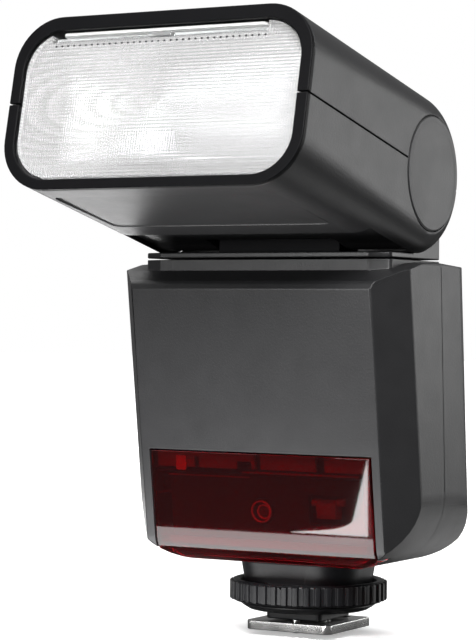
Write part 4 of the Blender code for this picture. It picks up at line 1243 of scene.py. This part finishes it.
def bare_material(name):
    material = bpy.data.materials.new(name)
    material.use_nodes = True
    material.node_tree.nodes.clear()
    return material, material.node_tree


def floor_material():
    """A pale floor that pales into the white room, and that throws back less than it shows."""
    material, tree = bare_material("floor")
    distance = output_of(tree, "VectorMath", "Value", {
        0: output_of(tree, "TexCoord", "Object")}, operation="LENGTH")
    fade = output_of(tree, "MapRange", "Result", {
        "Value": distance, "From Min": 0.12, "From Max": 0.7, "To Min": 0.4,
    }, interpolation_type="SMOOTHSTEP")
    shown = output_of(tree, "AddShader", "Shader", {
        0: output_of(tree, "BsdfDiffuse", "BSDF", {"Color": PALE_FLOOR}),
        1: output_of(tree, "Emission", "Emission", {"Strength": fade})})
    dim = output_of(tree, "BsdfDiffuse", "BSDF", {"Color": FLOOR_BOUNCE})
    output = tree.nodes.new("ShaderNodeOutputMaterial")
    wire(tree, output, {"Surface": seen_as(tree, shown, dim)})
    return material


def area_light(name, size, power):
    light = bpy.data.lights.new(name, "AREA")
    light.shape = "RECTANGLE"
    light.size, light.size_y = size
    light.energy = power
    obj = linked(name, light)
    obj.visible_camera = False
    return obj


def add_softbox(name, azimuth, elevation, distance, size, power, aim=FLASH_MIDDLE,
                spread=180):
    """An area light aimed at a point of the flash, at an azimuth and elevation round it."""
    obj = area_light(name, size, power)
    obj.data.spread = math.radians(spread)
    around, above = math.radians(azimuth), math.radians(elevation)
    way = Vector((
        math.sin(around) * math.cos(above), -math.cos(around) * math.cos(above),
        math.sin(above),
    ))
    obj.location = Vector(aim) + way * distance
    obj.rotation_euler = way.to_track_quat("Z", "Y").to_euler()


def add_floor_light(name, low, high, power):
    """An area light that lies on the floor and shines up, as a white table does."""
    low, high = Vector((*low, 1)) * MM, Vector((*high, 1)) * MM
    obj = area_light(name, (high - low)[:2], power)
    obj.location = (low + high) / 2
    obj.rotation_euler = (math.pi, 0, 0)


def add_glow_card():
    """A bright card on the floor, which the window's right side reflects as a curved gleam.

    It is a thin wedge that points forward. Its near end spreads to the left into a bar, with
    a rounded inner corner.
    """
    near, far = -67.5, -117.5
    outline = filleted([(-27, far, 0), (-9, near - 4, 5), (-21.5, near, 0), (-3, near, 0)])
    card = prism("glow_card", outline, 0.9, 1.0)
    material, tree = bare_material("glow")
    output = tree.nodes.new("ShaderNodeOutputMaterial")
    wire(tree, output, {"Surface": output_of(tree, "Emission", "Emission", {
        "Strength": GLOW})})
    card.data.materials.append(material)
    card.visible_camera = False


def add_studio():
    bpy.context.scene.view_settings.view_transform = "Standard"
    add_world()
    grid = bmesh.new()
    bmesh.ops.create_grid(grid, x_segments=1, y_segments=1, size=3.0)
    floor = loose("floor", grid)
    floor.location.z = CAD_BOX[0][2] - FLOOR_GAP * MM
    floor.data.materials.append(floor_material())
    add_softbox("front", -10, 2, 0.55, (0.30, 0.16), 1.35)
    add_softbox("back_right", 140, -2, 0.6, (0.35, 0.4), 1.35)
    add_floor_light("right_foot", (15, 15), (90, 110), 0.018)
    add_softbox("top", -100, 80, 1.2, (1.6, 1.6), 22)
    add_softbox("lens", 24, 30, 0.35, (0.20, 0.12), 0.24, (0, -0.05, 0.10), 50)
    add_floor_light("underside", (-190, 70), (-110, 160), 0.16)
    add_floor_light("lip", (-60, -66), (16, -24), 0.06)
    add_glow_card()


make_materials()
make_body_shells()
make_window()
make_window_parts()
make_head_shells()
make_tilt_caps()
make_lens()
make_panels()
make_reflector()
make_yoke()
make_foot()
make_contacts()
make_side_pieces()
make_display()
make_keys()
make_dial()
make_switches()
make_case_screws()
dress_the_rest()
add_camera()
add_studio()
